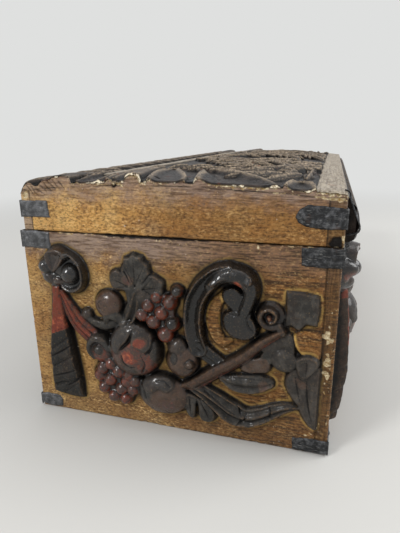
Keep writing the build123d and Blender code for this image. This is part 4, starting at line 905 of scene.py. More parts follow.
    # The acanthus, in an S that ends in a point, hollowed on either side of its midrib.
    face.strip([(128, 41, 2.4, 4.5), (135, 40.8, 5, 6), (143.4, 37.6, 6.2, 7.4), (152.6, 32.2, 7.6, 8),
                (163, 25, 9.2, 7.4), (174, 22.2, 7.8, 6.4), (185, 26.4, 6.4, 6), (195.5, 32.6, 5, 5.4),
                (203, 35.4, 3.6, 4.6), (208.6, 35.4, 1.4, 3.4)], leaf_section(0.12, 0.55))
    for notch in (
        [(166.6, 32.2, 0.5, 1.6), (168.4, 29, 0.9, 2.6), (169.4, 25.6, 0.6, 1.6)],
        [(173.6, 25.4, 0.5, 1.4), (172, 21.4, 0.9, 2.4), (167, 16.6, 0.6, 1.8)],
        [(189.4, 33.4, 0.6, 1.4), (190.4, 30, 0.8, 2.2), (189.6, 26.4, 0.6, 1.6)],
        [(143, 40.4, 0.5, 1.2), (151, 35.4, 0.8, 1.6), (160, 28.6, 0.7, 1.5), (168, 24.4, 0.4, 0.8)],
    ):
        face.groove(notch, 0.9)
    # Its two broad side lobes.
    face.slab([(128.4, 36), (127.2, 30), (126.8, 24), (128.4, 17.6), (131.6, 14.2), (134.8, 14.2),
               (136.2, 18.4), (136.8, 25), (138, 33)], 4.8, BLACK, 3.6, 0.5)
    face.slab([(136.8, 33), (137.2, 25), (137.6, 18.2), (140, 14), (145.2, 12.8), (149.8, 14.8),
               (151.4, 19.6), (149.4, 25.4), (144, 31)], 5.4, BLACK, 4.2, 0.6)
    face.groove([(131.2, 33, 0.6, 1), (131.6, 25, 0.8, 1.4), (132.4, 18.4, 0.5, 0.8)], 0.5)
    face.groove([(139.4, 32, 0.6, 1), (142.4, 25, 0.9, 1.6), (145.6, 18.4, 0.6, 0.9)], 0.5)
    face.groove([(136.7, 31, 0.5, 1.6), (136.6, 24, 0.8, 2.4), (136.2, 16, 0.9, 2.6)], 1)


def carve_ground(face):
    """Low relief left in the ground's own colour: the inner C-strip and the round leaf."""
    face.current = 0
    face.strip([(156, 114.5, 2.6, 2.6), (150.2, 106, 4.6, 2.8), (148.2, 96, 5.2, 2.8), (150.2, 86, 4.8, 2.8),
                (155, 79.6, 4, 2.8), (160.6, 80.6, 2, 2.6)], crown(0.7))
    face.slab([(203.6, 91), (212, 94.2), (221, 92.6), (221.4, 76), (215.6, 73.4), (208, 77.5), (204.2, 83.5)],
              2.6, 0, 2, 0.4)


def carve_face():
    """The drawing that the ends carry, and that the front carries twice."""
    face = Carving(DEPTH, BODY_HEIGHT, FACE_GRID)
    carve_ground(face)
    for carve in (carve_foliage, carve_scroll, carve_stem, carve_ribbon, carve_drapery, carve_fruit,
                  carve_grapes, carve_rosette):
        carve(face)
    face.settle(7)
    return face


# ------------------------ meshes
def make_object(name, points, faces, body, material, normals=None, shares=None, smooth_shaded=True):
    """A mesh object in metres from points in millimetres, riding on a body."""
    mesh = bpy.data.meshes.new(name)
    mesh.from_pydata((np.asarray(points) * MM).tolist(), [], np.asarray(faces).tolist())
    for share, values in (shares or {}).items():
        mesh.attributes.new(share, "FLOAT", "POINT").data.foreach_set("value", np.asarray(values, np.float32))
    mesh.polygons.foreach_set("use_smooth", [smooth_shaded] * len(mesh.polygons))
    if normals is not None:
        mesh.normals_split_custom_set_from_vertices(np.asarray(normals).tolist())
    piece = bpy.data.objects.new(name, mesh)
    bpy.context.scene.collection.objects.link(piece)
    piece.data.materials.append(material)
    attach(piece, body)
    return piece


def surface_of(face, place):
    """Positions of a carving's grid points, and the normals there."""
    points = place(face.across, face.up, face.height)
    by_across = np.gradient(points, axis=0)
    by_up = np.gradient(points, axis=1)
    normals = np.cross(by_across, by_up)
    normals /= np.linalg.norm(normals, axis=2)[:, :, None] + 1e-12
    return points, normals


def patch(face, place, motif, name, body, material, flip=False, keep=None):
    """The part of a carved face that belongs to one motif, as an object."""
    points, normals = surface_of(face, place)
    number = face.motifs.index(motif)
    corner_slices = ((slice(None, -1), slice(None, -1)), (slice(1, None), slice(None, -1)),
                     (slice(1, None), slice(1, None)), (slice(None, -1), slice(1, None)))
    owners = np.stack([face.owner[corner] for corner in corner_slices])
    heights = np.stack([face.height[corner] for corner in corner_slices])
    heights = np.where(owners > 0, heights, -1e3)
    # A square belongs to the motif of its highest carved corner, or to the ground if it has none.
    belongs = np.take_along_axis(owners, np.argmax(heights, axis=0)[None], axis=0)[0] == number
    if keep is not None:
        belongs &= keep(face.across[:-1, :-1] + 0.5 * face.step, face.up[:-1, :-1] + 0.5 * face.step)
    numbers = np.arange(face.owner.size).reshape(face.owner.shape)
    quads = np.stack([numbers[corner] for corner in corner_slices], axis=-1)[belongs]
    if flip:
        quads = quads[:, ::-1]
        normals = -normals
    used, renumbered = np.unique(quads, return_inverse=True)
    shares = {share: getattr(face, share).reshape(-1)[used] for share in SHARES}
    return make_object(name, points.reshape(-1, 3)[used], renumbered.reshape(-1, 4), body, material,
                       normals.reshape(-1, 3)[used], shares)


def on_left_end(across, up, height):
    return np.stack([-LENGTH / 2 - height, DEPTH / 2 - across, up], axis=-1)


def on_right_end(across, up, height):
    return np.stack([LENGTH / 2 + height, DEPTH / 2 - across, up], axis=-1)


# The drawing is stretched to half of the front: along it, upwards and in relief.
FRONT_SHARE = 243.0 / 230.0
FRONT_GROWTH = 1.055
FRONT_RELIEF = 1.25


def on_front_left(across, up, height):
    return np.stack([-LENGTH / 2 + across * FRONT_SHARE, -DEPTH / 2 - height * FRONT_RELIEF,
                     up * FRONT_GROWTH], axis=-1)


def on_front_right(across, up, height):
    return np.stack([LENGTH / 2 - across * FRONT_SHARE, -DEPTH / 2 - height * FRONT_RELIEF,
                     up * FRONT_GROWTH], axis=-1)


BOARD_GRID = 6.0           # mm between points of a plain board


def box(name, low, high, body, edge, seed, shape=None):
    """A sawn, bare board with rounded, worn edges. Corners are in millimetres; shape bends its points."""
    low, high = np.array(low, float), np.array(high, float)
    points, faces = [], []

    def ticks(lowest, highest):
        count = max(2, int((highest - lowest) / BOARD_GRID))
        inner = np.linspace(lowest + 2 * edge, highest - 2 * edge, count)
        return np.concatenate([[lowest, lowest + 0.3 * edge, lowest + 0.8 * edge], inner,
                               [highest - 0.8 * edge, highest - 0.3 * edge, highest]])

    for axis in range(3):
        first, second = (axis + 1) % 3, (axis + 2) % 3
        a, b = np.meshgrid(ticks(low[first], high[first]), ticks(low[second], high[second]), indexing="ij")
        for side, level in ((0, low[axis]), (1, high[axis])):
            grid = np.zeros((*a.shape, 3))
            grid[..., axis], grid[..., first], grid[..., second] = level, a, b
            start = len(points)
            points.extend(grid.reshape(-1, 3))
            rows, columns = a.shape
            numbers = start + np.arange(rows * columns).reshape(rows, columns)
            quads = np.stack([numbers[:-1, :-1], numbers[1:, :-1], numbers[1:, 1:], numbers[:-1, 1:]],
                             axis=-1)
            faces.extend(quads.reshape(-1, 4) if side else quads.reshape(-1, 4)[:, ::-1])
    points = np.array(points)
    rng = np.random.default_rng(seed)
    wobble = np.sin(points @ rng.uniform(-0.25, 0.25, (3, 4)) + rng.uniform(0, 6, 4)).mean(axis=1)
    radius = edge * (1 + 0.5 * wobble)[:, None]
    core = np.clip(points, low + radius, high - radius)
    away = points - core
    length = np.linalg.norm(away, axis=1)[:, None]
    points = np.where(length > 1e-9, core + away / np.maximum(length, 1e-9) * radius, points)
    if shape:
        points = shape(points)
    piece = make_object(name, points, faces, body, BARE)
    mesh = bmesh.new()
    mesh.from_mesh(piece.data)
    bmesh.ops.remove_doubles(mesh, verts=mesh.verts, dist=0.02 * MM)
    mesh.to_mesh(piece.data)
    mesh.free()
    return piece


def lay_boards(body, boards, shape=None):
    """The bare boards behind carved faces, each named for the node that it dresses."""
    for node, low, high in boards:
        name = f"{node}_wood"
        wood = box(name, low, high, body, edge=1.0, seed=len(name), shape=shape)
        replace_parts(wood, node)


def crown_circle():
    """Centre and radius of the lid's crown line, through its three points."""
    rows = np.array([(2 * y, 2 * z, 1) for y, z in CROWN_POINTS])
    sums = np.array([y * y + z * z for y, z in CROWN_POINTS])
    centre_y, centre_z, rest = np.linalg.solve(rows, sums)
    return centre_y, centre_z, np.sqrt(rest + centre_y ** 2 + centre_z ** 2)


CROWN_Y, CROWN_Z, CROWN_RADIUS = crown_circle()


def crown_height(y, raised=0.0):
    """Height of the crown line at a depth, or of the line raised square to it."""
    return CROWN_Z + np.sqrt((CROWN_RADIUS + raised) ** 2 - (y - CROWN_Y) ** 2)


# ------------------------ the chest
GROUND_LIFT = 0.15         # painted surfaces lie this far over the boards behind them
CHIP_DEPTH = 1.6           # chips and cracks of the ends go no deeper than this
face = carve_face()


def finish_end(face):
    """Joints, worn edges and chips of a body end, on its ground."""
    u, z = face.across, face.up
    # Joints between the end board and the ends of the rear and front boards.
    face.crack([(10.0, 0, 0.4, 0.3), (10.3, 60, 0.4, 0.2), (10.0, 150, 0.4, 0.4)], 0.12)
    face.crack([(221.2, 0, 0.6, 1.2), (221.6, 60, 0.5, 0.9), (221.4, 100, 0.6, 0.9),
                (221.2, 150, 0.7, 1.4)], 0.7)
    face.plain = np.clip((u - 220.8) / 0.6, 0, 1)
    shape = u.shape
    top, foot, rear, front = BODY_HEIGHT - z, z, u, DEPTH - u
    for away, radius in ((top, 1.5), (foot, 1.6), (rear, 1.5), (front, 1.6)):
        face.round_edge(away, radius)
    along_top = np.interp(u, (0, 28, 36, 52, 66, 98, 104, 116, 124, 190, 230),
                          (-1, -0.7, 0.5, 0.6, -0.2, 0.1, 0.8, 0.7, -0.3, 0.2, 0.1))
    face.chip_edge(top, 1.6, along_top, 21)
    along_front = np.interp(z, (0, 12, 40, 90, 100, 150), (-0.6, 0.6, 0.9, 0.9, 0.1, 0.0))
    face.chip_edge(front, 1.5, along_front, 31, 0.7)
    joint = np.abs(u - 225.4)
    share = np.interp(z, (0, 12, 20, 30, 40, 60, 72, 82, 90, 98, 150),
                      (-1, -0.6, 0.0, -0.5, -0.2, 0.1, 0.6, -0.5, 0.7, -0.7, -0.9))
    face.chip_edge(joint, 2.6, share, 35, 0.6, 1.0, 3.4)
    face.chip_edge(foot, 1.3, -0.2, 41, 0.8, 0.5)
    face.chip_edge(rear, 1.2, -0.5, 51, 0.6, 0.7)
    # Loose flakes on the field, each a speck of pale gesso.
    flakes = lumps(shape, 1.6 / face.step, 61) + 0.7 * lumps(shape, 14 / face.step, 62)
    lost = np.clip((flakes - 1.30) / 0.12, 0, 1) * (face.owner == 0)
    face.height -= 0.25 * lost
    face.chip = np.maximum(face.chip, 0.9 * lost)
    # The lid's seam is open along its middle, and painted black there as painted shade in the gap.
    gap = np.interp(u, (0, 60, 72, 126, 136, 230), (0.5, 0.5, 1.7, 1.5, 0.6, 0.5))
    gap += 0.6 * lumps(shape, 4 / face.step, 63)
    split = np.clip((gap - top) / 0.6, 0, 1)
    face.height -= 1.2 * split
    face.hollow = np.maximum(face.hollow, 1.2 * split)
    face.chip *= 1 - split
    face.height = np.maximum(face.height, -CHIP_DEPTH)


finish_end(face)
# Every face that carries the drawing: its nodes' side, its place, how its pieces' names end, and
# whether it is laid the other way round, so that its polygons have to be flipped.
FACES = (
    ("left", on_left_end, "", True), ("right", on_right_end, "", False),
    ("front", on_front_left, "_left", False), ("front", on_front_right, "_right", True),
)
for motif in PAINTS:
    for side, place, ending, flip in FACES:
        piece = patch(face, place, motif, f"{side}_{motif}_carved{ending}", "chest", PAINTS[motif], flip=flip)
        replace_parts(piece, f"{side}_{motif}")

for side, place, flip in (("left", on_left_end, True), ("right", on_right_end, False)):
    ground = patch(face, place, "ground", f"{side}_end_ground", "chest", OCHRE, flip=flip)
    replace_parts(ground, f"{side}_end_board")
for side, place, flip in (("left", on_front_left, False), ("right", on_front_right, True)):
    ground = patch(face, place, "ground", f"front_ground_{side}", "chest", OCHRE, flip=flip,
                   keep=lambda u, v: v < (BODY_HEIGHT - 1) / FRONT_GROWTH)
    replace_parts(ground, "front_board")


def carve_middle():
    """The middle of the front: a round rosette of eight petals with a short cloth below."""
    middle = Carving(CENTRE_STRIP, BODY_HEIGHT, FACE_GRID)
    centre = CENTRE_STRIP / 2
    middle.start("drapery")
    def paint(offset, share):
        return np.where((share > 0.18) & (share < 0.48), 0.8, BLACK)
    middle.strip([(centre, 96, 6, 5), (centre, 75, 11, 8), (centre, 50, 14, 8), (centre, 30, 16, 5.5),
                  (centre, 19, 15.5, 4)], strands(5, 0.35), paint)
    for up in (34, 52, 66):
        middle.groove([(centre - 13, up + 2, 0.7, 1.4), (centre, up - 2, 0.9, 1.8),
                       (centre + 13, up + 2, 0.7, 1.4)])
    middle.start("rosette")
    middle.boss(centre, 112, 17, 17, 5, full=3)
    for petal in range(8):
        c, s = cos(2 * pi * petal / 8), sin(2 * pi * petal / 8)
        middle.strip([(centre + 7 * c, 112 + 7 * s, 3.4, 7), (centre + 13 * c, 112 + 13 * s, 5.2, 8.2),
                      (centre + 18.6 * c, 112 + 18.6 * s, 3, 5.5)], leaf_section(0, 0.5))
    middle.boss(centre, 112, 7.6, 7.6, 11)
    middle.settle(9)
    return middle


middle = carve_middle()


def on_front_middle(across, up, height):
    return np.stack([across - CENTRE_STRIP / 2, -DEPTH / 2 - height * FRONT_RELIEF, up], axis=-1)


for motif in ("rosette", "drapery"):
    piece = patch(middle, on_front_middle, motif, f"front_{motif}_carved_middle", "chest", PAINTS[motif])
    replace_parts(piece, f"front_{motif}")
ground = patch(middle, on_front_middle, "ground", "front_ground_middle", "chest", OCHRE,
               keep=lambda u, v: v < BODY_HEIGHT - 1)
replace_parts(ground, "front_board")

# Boards behind the painted faces: bare inside the chest and at the rear. The ends stay clear of them
# by the depth of their deepest chips.
HALF_LENGTH, HALF_DEPTH = LENGTH / 2 - CHIP_DEPTH, DEPTH / 2 - GROUND_LIFT
INNER_X, INNER_Y = LENGTH / 2 - END_BOARD, DEPTH / 2 - LONG_BOARD
lay_boards("chest", (
    ("front_board", (-HALF_LENGTH, -HALF_DEPTH, 0),
     (HALF_LENGTH, -HALF_DEPTH + LONG_BOARD - GROUND_LIFT, BODY_HEIGHT)),
    ("rear_board", (-HALF_LENGTH, INNER_Y, 0), (HALF_LENGTH, DEPTH / 2, BODY_HEIGHT)),
    ("left_end_board", (-HALF_LENGTH, -INNER_Y, 0), (-INNER_X, INNER_Y, BODY_HEIGHT)),
    ("right_end_board", (INNER_X, -INNER_Y, 0), (HALF_LENGTH, INNER_Y, BODY_HEIGHT)),
))


# ------------------------ the lid
LID_GROUND = 3.2           # the carving's deepest ground lies this far below the top board's surface


def on_lid(across, up, height):
    """The lid's carved top: across from its left end, up from its rear edge to the front."""
    y = LID_REAR_Y - up
    z = crown_height(y, TOP_BOARD) - LID_GROUND + height
    return np.stack([across - LENGTH / 2, y, z], axis=-1)


def carve_rope(lid):
    """The rear border: slanting gadroons, one after another like the strands of a rope."""
    lid.start("rope")
    lid.strip([(-8, 13, 10, 1.8), (LENGTH + 8, 13, 10, 1.8)], crown(0.3))
    for lobe in range(-1, 21):
        x = 28 * lobe
        lid.strip([(x - 6, 2.5, 3, 4.2), (x + 3, 7, 6.4, 6.2), (x + 14, 14, 7.2, 6.8), (x + 25, 20, 5.4, 6),
                   (x + 33, 24.5, 2.4, 4)], crown(0.2, 0.6))


def acanthus(lid, stations, count=3):
    """One long leaf: a hollow blade between raised lips, with side lobes that part from it."""
    lid.strip(stations, channel(0.72, 0.62))
    line = smooth([station[:4] for station in stations], 3)
    for lobe in range(count):
        index = int((0.25 + 0.5 * lobe / count) * len(line))
        along, up, half, rise = line[index]
        ahead = line[min(index + 4, len(line) - 1)][:2] - (along, up)
        ahead /= hypot(*ahead) + 1e-9
        for side in (-1, 1):
            square = np.array((-ahead[1], ahead[0])) * side
            root = (along, up) + square * half * 0.55
            tip = root + ahead * half * 1.5 + square * half * 0.75
            middle = 0.5 * (root + tip) + square * half * 0.18
            lid.strip([(*root, half * 0.22, rise * 0.85), (*middle, half * 0.34, rise * 0.95),
                       (*tip, half * 0.14, rise * 0.7)], crown(0.35))


SCROLL_START, SCROLL_LENGTH = 140.0, 135.0
FIELD_MIDDLE, FIELD_REAR, FIELD_FRONT = 131.75, 59.0, 207.0
STEM_SWAY = 46.0
CURL_RADIUS, CURL_TURN, CURL_SHRINK, CURL_SHIFT = 44.0, 290.0, 0.66, 9.3
LEAF_REACH_LIMIT, LEAF_REACH_LEAST = 62.0, 26.0


def stem_up(along):
    """Where the waving stem runs, from the rear edge."""
    return FIELD_MIDDLE + STEM_SWAY * cos(pi * (along - SCROLL_START) / SCROLL_LENGTH)


def carve_lid_scroll(lid):
    """One scroll: waving stem, curled leaf with a flower, and long leaves on both sides."""
    for leaf in range(4):
        along = SCROLL_START + (leaf - 0.65) / 4 * SCROLL_LENGTH
        for edge in (FIELD_REAR, FIELD_FRONT):
            root = stem_up(along)
            reach = max(-LEAF_REACH_LIMIT, min(LEAF_REACH_LIMIT, edge - root))
            if abs(reach) < LEAF_REACH_LEAST:
                continue
            acanthus(lid, [
                (along - 14, root + 0.10 * reach, 2.5, 5), (along, root + 0.40 * reach, 8.2, 6.3),
                (along + 18, root + 0.70 * reach, 9.2, 6.3), (along + 42, root + 0.90 * reach, 5.4, 5.6),
                (along + 60, root + 0.98 * reach, 1.6, 4.6),
            ])
    stem = []
    for step in range(9):
        along = SCROLL_START + step / 8 * SCROLL_LENGTH
        stem.append((along, stem_up(along), 4.8, 6.3))
    lid.strip([(98, 158, 4.6, 6), (118, 172, 4.8, 6.2), *stem], channel(0.5, 0.3))
    centre_along, centre_up = SCROLL_START + SCROLL_LENGTH / 2, FIELD_MIDDLE - CURL_SHIFT
    curl = []
    for step in range(14):
        share = step / 13
        angle = radians(90 + CURL_TURN * share)
        radius = CURL_RADIUS * (1 - CURL_SHRINK * share)
        x, up = centre_along + radius * cos(angle), centre_up + radius * sin(angle)
        curl.append((x, up, 8.4 * (1 - 0.45 * share), 6.2))
        if 0 < step < 12:
            turn = angle + 1.9
            lid.strip([
                (x + 4 * cos(angle), up + 4 * sin(angle), 2.2, 5.4),
                (x + 9 * cos(angle + 0.7), up + 9 * sin(angle + 0.7), 3.8, 6.2),
                (x + 15 * cos(turn - 0.5), up + 15 * sin(turn - 0.5), 1.4, 4.6),
            ], leaf_section(0, 0.4))
    lid.strip(curl, channel(0.66, 0.6))
    lid.boss(centre_along, centre_up, 10, 10, 5.4, full=2.5)
    for petal in range(6):
        angle = 2 * pi * petal / 6
        lid.boss(centre_along + 6.4 * cos(angle), centre_up + 6.4 * sin(angle), 3.8, 3.8, 6.5)
    lid.boss(centre_along, centre_up, 3.6, 3.6, 6.8)


def carve_end_leaves(lid):
    """The leaves that the lid's end cuts off: deep hollow blades between raised lips."""
    # Leaf that laps over the rear border.
    lid.strip([(-6, 34, 10, 6.8), (14, 33, 10, 6.7), (34, 30, 7.5, 6.2), (58, 27, 3.5, 5)], crown(0.5))
    lid.strip([(20, 41, 5, 5.2), (48, 39, 5, 5.6), (80, 37, 3.6, 4.8), (104, 35, 1.2, 4)],
              leaf_section(0, 0.4))
    # First hollow, where the plain fillet ends.
    lid.strip([(-6, 56, 9.6, 2.6), (16, 54, 9.6, 4), (38, 50, 8, 4.6), (62, 48, 3, 4.4)], channel(0.8, 0.75))
    # Ridge between the first two hollows, highest where it is cut off.
    lid.strip([(-6, 90, 5.6, 6.9), (8, 88, 6.6, 6.7), (30, 82, 7, 6.2), (60, 76, 6, 5.8), (92, 72, 3, 5)],
              crown(0.45))
    lid.strip([(4, 74, 6, 4.2), (26, 70, 6.6, 5), (52, 66, 6.4, 5.2), (84, 63, 3, 4.8)],
              leaf_section(0.2, 0.5))
    # Second hollow.
    lid.strip([(-6, 115, 13.5, 3.2), (14, 110, 14, 4.6), (40, 101, 12, 5.4), (66, 93, 8, 5.6),
               (94, 86, 3, 5)], channel(0.82, 0.8))
    # Third and largest hollow, which runs across the board to the front.
    lid.strip([(-8, 163, 27, 3.4), (8, 156, 25.5, 4.6), (28, 146, 19.5, 6), (50, 136, 12.5, 6.6),
               (72, 120, 7, 6.4), (96, 106, 2.6, 5.4)], channel(0.86, 0.86))
    lid.strip([(2, 150, 3, 2.2), (20, 146, 2.6, 2.6), (44, 136, 1.6, 3)], crown(0.5))
    # Fourth, small, beside the plain strip.
    lid.strip([(-6, 200, 11, 3.6), (6, 199.5, 10.4, 5), (17, 199, 8, 5.8), (27, 198, 4, 5.4)],
              channel(0.78, 0.8))
    # Lobes that lap over the third hollow's far lip.
    for along, up, turn, length, half in (
        (46, 158, 38, 34, 6.4), (60, 172, 30, 34, 6.8), (62, 188, 20, 36, 6.2), (78, 140, 52, 34, 6),
        (88, 158, 44, 34, 6.2), (84, 118, 62, 30, 5.6), (36, 181, 24, 28, 5.2), (92, 186, 12, 30, 5.4),
        (104, 136, 56, 30, 5.4), (72, 201, 5, 26, 4.6), (106, 104, 30, 34, 5.2), (108, 201, 4, 24, 4.4),
        (112, 84, 10, 34, 5), (100, 68, 4, 30, 4.6),
    ):
        half_along, half_up = cos(radians(turn)) * length / 2, sin(radians(turn)) * length / 2
        lid.strip([(along - half_along, up - half_up, half * 0.5, 5), (along, up, half, 6.2),
                   (along + half_along, up + half_up, half * 0.55, 5.2)], leaf_section(0.1, 0.5))
    # Drill holes in the eyes of the leaves.
    for along, up in ((16, 101), (78, 121), (70, 174), (40, 196), (100, 150)):
        lid.crack([(along - 2.2, up, 1.6, 2.6), (along, up, 2, 3), (along + 2.2, up, 1.6, 2.6)])


def carve_lid():
    """The whole top board as one carving: border, plain fillet, foliage and plain front strip."""
    lid = Carving(LENGTH, LID_DEPTH, LID_GRID)
    lid.height[:] = LID_GROUND - 1.2
    lid.start("foliage")
    lid.owner[:] = lid.current
    carve_lid_scroll(lid)
    carve_end_leaves(lid)
    # The right half repeats the left half the other way round.
    lid.height *= 1.1
    shape = lid.height.shape
    half = (shape[0] + 1) // 2
    for values in (lid.height, lid.line):
        values[-half:] = values[:half][::-1]
    carve_rope(lid)
    lid.start("board")
    plain_level = LID_GROUND + 0.2 * lumps(shape, 20 / lid.step, 3)
    strip = np.clip((lid.up - 208 - 1.2 * lumps(shape, 16 / lid.step, 5)) / 0.8, 0, 1)
    from_end = np.minimum(lid.across, LENGTH - lid.across)
    fillet = np.clip(5.6 - np.abs(lid.up - 50.2), 0, 1) * np.clip((from_end - 40) / 8, 0, 1)
    for share, rise, limit in ((strip, 0, 20), (fillet, 1.2, LID_GROUND + 2.8)):
        over = (share > 0.4) & (lid.height < limit)
        lid.height[over] = (plain_level + rise * share)[over]
        lid.owner[over] = lid.current
        lid.line[over] = 0
        lid.plain = np.maximum(lid.plain, share * over)
    lid.crack([(x, 208.2 + 1.2 * cos(x / 23), 0.9, 0.8) for x in range(0, 551, 50)], 0.5)
    lid.settle(17, soft=0.2)
    lid.foot[:] = 0
    # A board as deeply carved as this is rubbed on every ridge and black in every hollow, which are also a
    # painted highlight and painted shade.
    relief = lid.height - blurred(lid.height, 3.5 / lid.step)
    lid.wear = np.maximum(lid.wear, np.clip((relief - 0.25) / 1.3, 0, 1))
    lid.hollow = np.maximum(lid.hollow, np.clip((-relief - 0.1) / 1.2, 0, 1))
    left, right, rear, front = lid.across, LENGTH - lid.across, lid.up, LID_DEPTH - lid.up
    jagged = np.interp(lid.up, (0, 45, 60, 62, 80, 96, 104, 200, 227),
                       (-1.2, -0.9, 0.2, 0.4, 0.3, 0.5, -0.3, -0.1, 0.1))
    lid.chip_edge(left, 1.5, jagged, 71, 0.8)
    lid.chip_edge(right, 1.5, -0.3, 75, 0.8)
    lid.chip_edge(front, 1.3, -0.5, 79, 0.5, 0.6)
    lid.round_edge(left, 0.9)
    lid.round_edge(right, 0.9)
    lid.round_edge(front, 1.4)
    # The rear edge is worn away to the rail below.
    lid.height -= 6 * np.clip(1 - rear / 13, 0, 1) ** 2.2
    return lid


lid = carve_lid()
for motif, node in (("foliage", "lid_foliage"), ("rope", "lid_rope_border"), ("board", "lid_top_board")):
    piece = patch(lid, on_lid, motif, f"{node}_carved", "lid", WALNUT, flip=True)
    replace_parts(piece, node)


# The lid's ends: rail and board edge in one face, whose upper line is the carved top's.
END_HEIGHT = 38.0
SEAM_GAP = 0.5


def lid_end(side):
    """The lid's end on one side (-1 left, +1 right), up from the rim to the carved top."""
    end = Carving(LID_DEPTH, END_HEIGHT, FACE_GRID)
    profile = lid.height[0 if side < 0 else -1]
    depth = lid.up[0]
    u = end.across
    y = LID_REAR_Y - u
    top = crown_height(y, TOP_BOARD) - LID_GROUND + np.interp(u, depth, profile)
    low = BODY_HEIGHT + SEAM_GAP
    z = low + end.up * (top - low) / END_HEIGHT
    seam = crown_height(y)
    # The long rails' ends, and the joint under the top board.
    for joint, width in ((REAR_RAIL, 0.5), (LID_DEPTH - FRONT_RAIL, 0.6)):
        cut = np.clip(1 - np.abs(u - joint) / width, 0, 1) * (z < seam)
        end.height -= 0.9 * cut
        end.line = np.maximum(end.line, 0.9 * cut)
    wander = 0.5 * lumps(u.shape, 22 / end.step, 83)
    cut = np.clip(1 - np.abs(z - seam - wander) / 0.55, 0, 1)
    cut *= np.clip(0.75 + lumps(u.shape, 9 / end.step, 85), 0, 1)
    end.height -= 0.7 * cut
    end.line = np.maximum(end.line, 0.85 * cut)
    end.settle(91 + side, 0.8)
    end.plain = np.clip((u - LID_DEPTH + FRONT_RAIL) / 0.6, 0, 1) * (z < seam)
    # Purplish paint over the rail's top and over the rear corner, which is cut with slanting strokes.
    stain_edge = seam - np.interp(u, (0, 24, 40, 110, 130, 227), (7, 8, 4, 5, 9, 8))
    stain_edge += 2.5 * lumps(u.shape, 7 / end.step, 87)
    end.foot = 0.9 * np.clip((z - stain_edge) / 6.0, 0, 1)
    for stroke in range(9):
        x = 2.5 + 3.7 * stroke
        end.crack([(x, 36.6, 0.5, 0.4), (x + 2.2, 33.4, 0.8, 0.8), (x + 5.6, 29.6, 0.5, 0.4)], 0.7)
    end.crack([(75.0, 34.2, 0.8, 1.0), (77.2, 36.0, 1.3, 1.8), (78.4, 38.5, 0.9, 1.2)], 1.3)
    # A splinter is lost from the front rail's lower corner, and its hole is painted black as painted shade;
    # the wood beside it is pale.
    ragged = lumps(u.shape, 2.5 / end.step, 89)
    lost = np.clip(3.2 - 3.2 * np.hypot((u - 222.4) / 4.6, (z - 151.0) / 7.6) + 0.7 * ragged, 0, 1)
    end.hollow = np.maximum(end.hollow, 1.2 * lost)
    end.height -= 1.3 * lost
    pale = np.minimum(np.minimum(u - 226.0, 232.0 - u), 157.8 - z) + 1.4 * ragged
    end.chip = np.clip(pale / 0.8, 0, 1) * (1 - lost)
    small = np.interp(u, (0, 20, 32, 60, 90, 120, 180, 227), (-1.0, -0.7, 0.5, 0.6, 0.6, 0.3, 0.7, 0.5))
    end.chip_edge(top - z, 1.3, small, 95, 0.5, 1.0, 1.3)
    large = np.interp(u, (0, 36, 56, 86, 96, 190, 215, 227), (-1.0, -0.8, -0.2, 0.3, -0.9, -0.7, 0.6, 0.7))
    end.chip_edge(top - z, 2.6, large, 96, 0.7, 1.0, 3.0)
    along_seam = np.interp(u, (0, 180, 186, 222, 227), (-1.6, -1.2, 0.4, 0.5, -0.4))
    end.chip_edge(np.abs(z - seam), 0.9, along_seam, 99, 0.5)
    corner = np.clip((3.0 - np.hypot(u - 4.0, z - 176.2) + 1.2 * ragged) / 0.8, 0, 1)
    end.chip = np.maximum(end.chip, corner)
    end.height -= 0.8 * corner
    # The rear rail's end is as purplish as the rim below it.
    end.foot = np.maximum(end.foot, 0.9 * (u < REAR_RAIL) * (z < 160))
    along_foot = np.interp(u, (0, 60, 110, 160, 227), (-1.0, -0.4, -0.2, -0.4, -0.8))
    end.chip_edge(z - low, 0.8, along_foot, 103, 0.8, 0.7)
    # Painted shade: the seam at the foot is painted black where it opens.
    gap = np.interp(u, (0, 60, 70, 124, 134, 227), (0.1, 0.2, 0.9, 0.8, 0.2, 0.1))
    gap += 0.5 * lumps(u.shape, 4 / end.step, 107)
    end.hollow = np.maximum(end.hollow, 1.2 * np.clip((gap - z + low) / 0.5, 0, 1))
    end.round_edge(top - z, 0.9)
    end.round_edge(z - low, 1.4)
    end.round_edge(u, 1.6)
    end.round_edge(LID_DEPTH - u, 1.6)
    end.height = np.maximum(end.height, -CHIP_DEPTH)

    def place(across, up, height):
        return np.stack([side * (LENGTH / 2 + height), LID_REAR_Y - across, z], axis=-1)
    return end, place


for side, name in ((-1, "left"), (1, "right")):
    end, place = lid_end(side)
    piece = patch(end, place, "ground", f"lid_{name}_rail_painted", "lid", OCHRE, flip=side < 0)
    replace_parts(piece, f"lid_{name}_rail")


def crowned(points):
    """Stretch a rail upwards to the crown line at each point's depth."""
    share = (points[:, 2] - BODY_HEIGHT) / (CROWN_POINTS[0][1] - BODY_HEIGHT)
    points[:, 2] = BODY_HEIGHT + share * (crown_height(points[:, 1]) - BODY_HEIGHT)
    return points


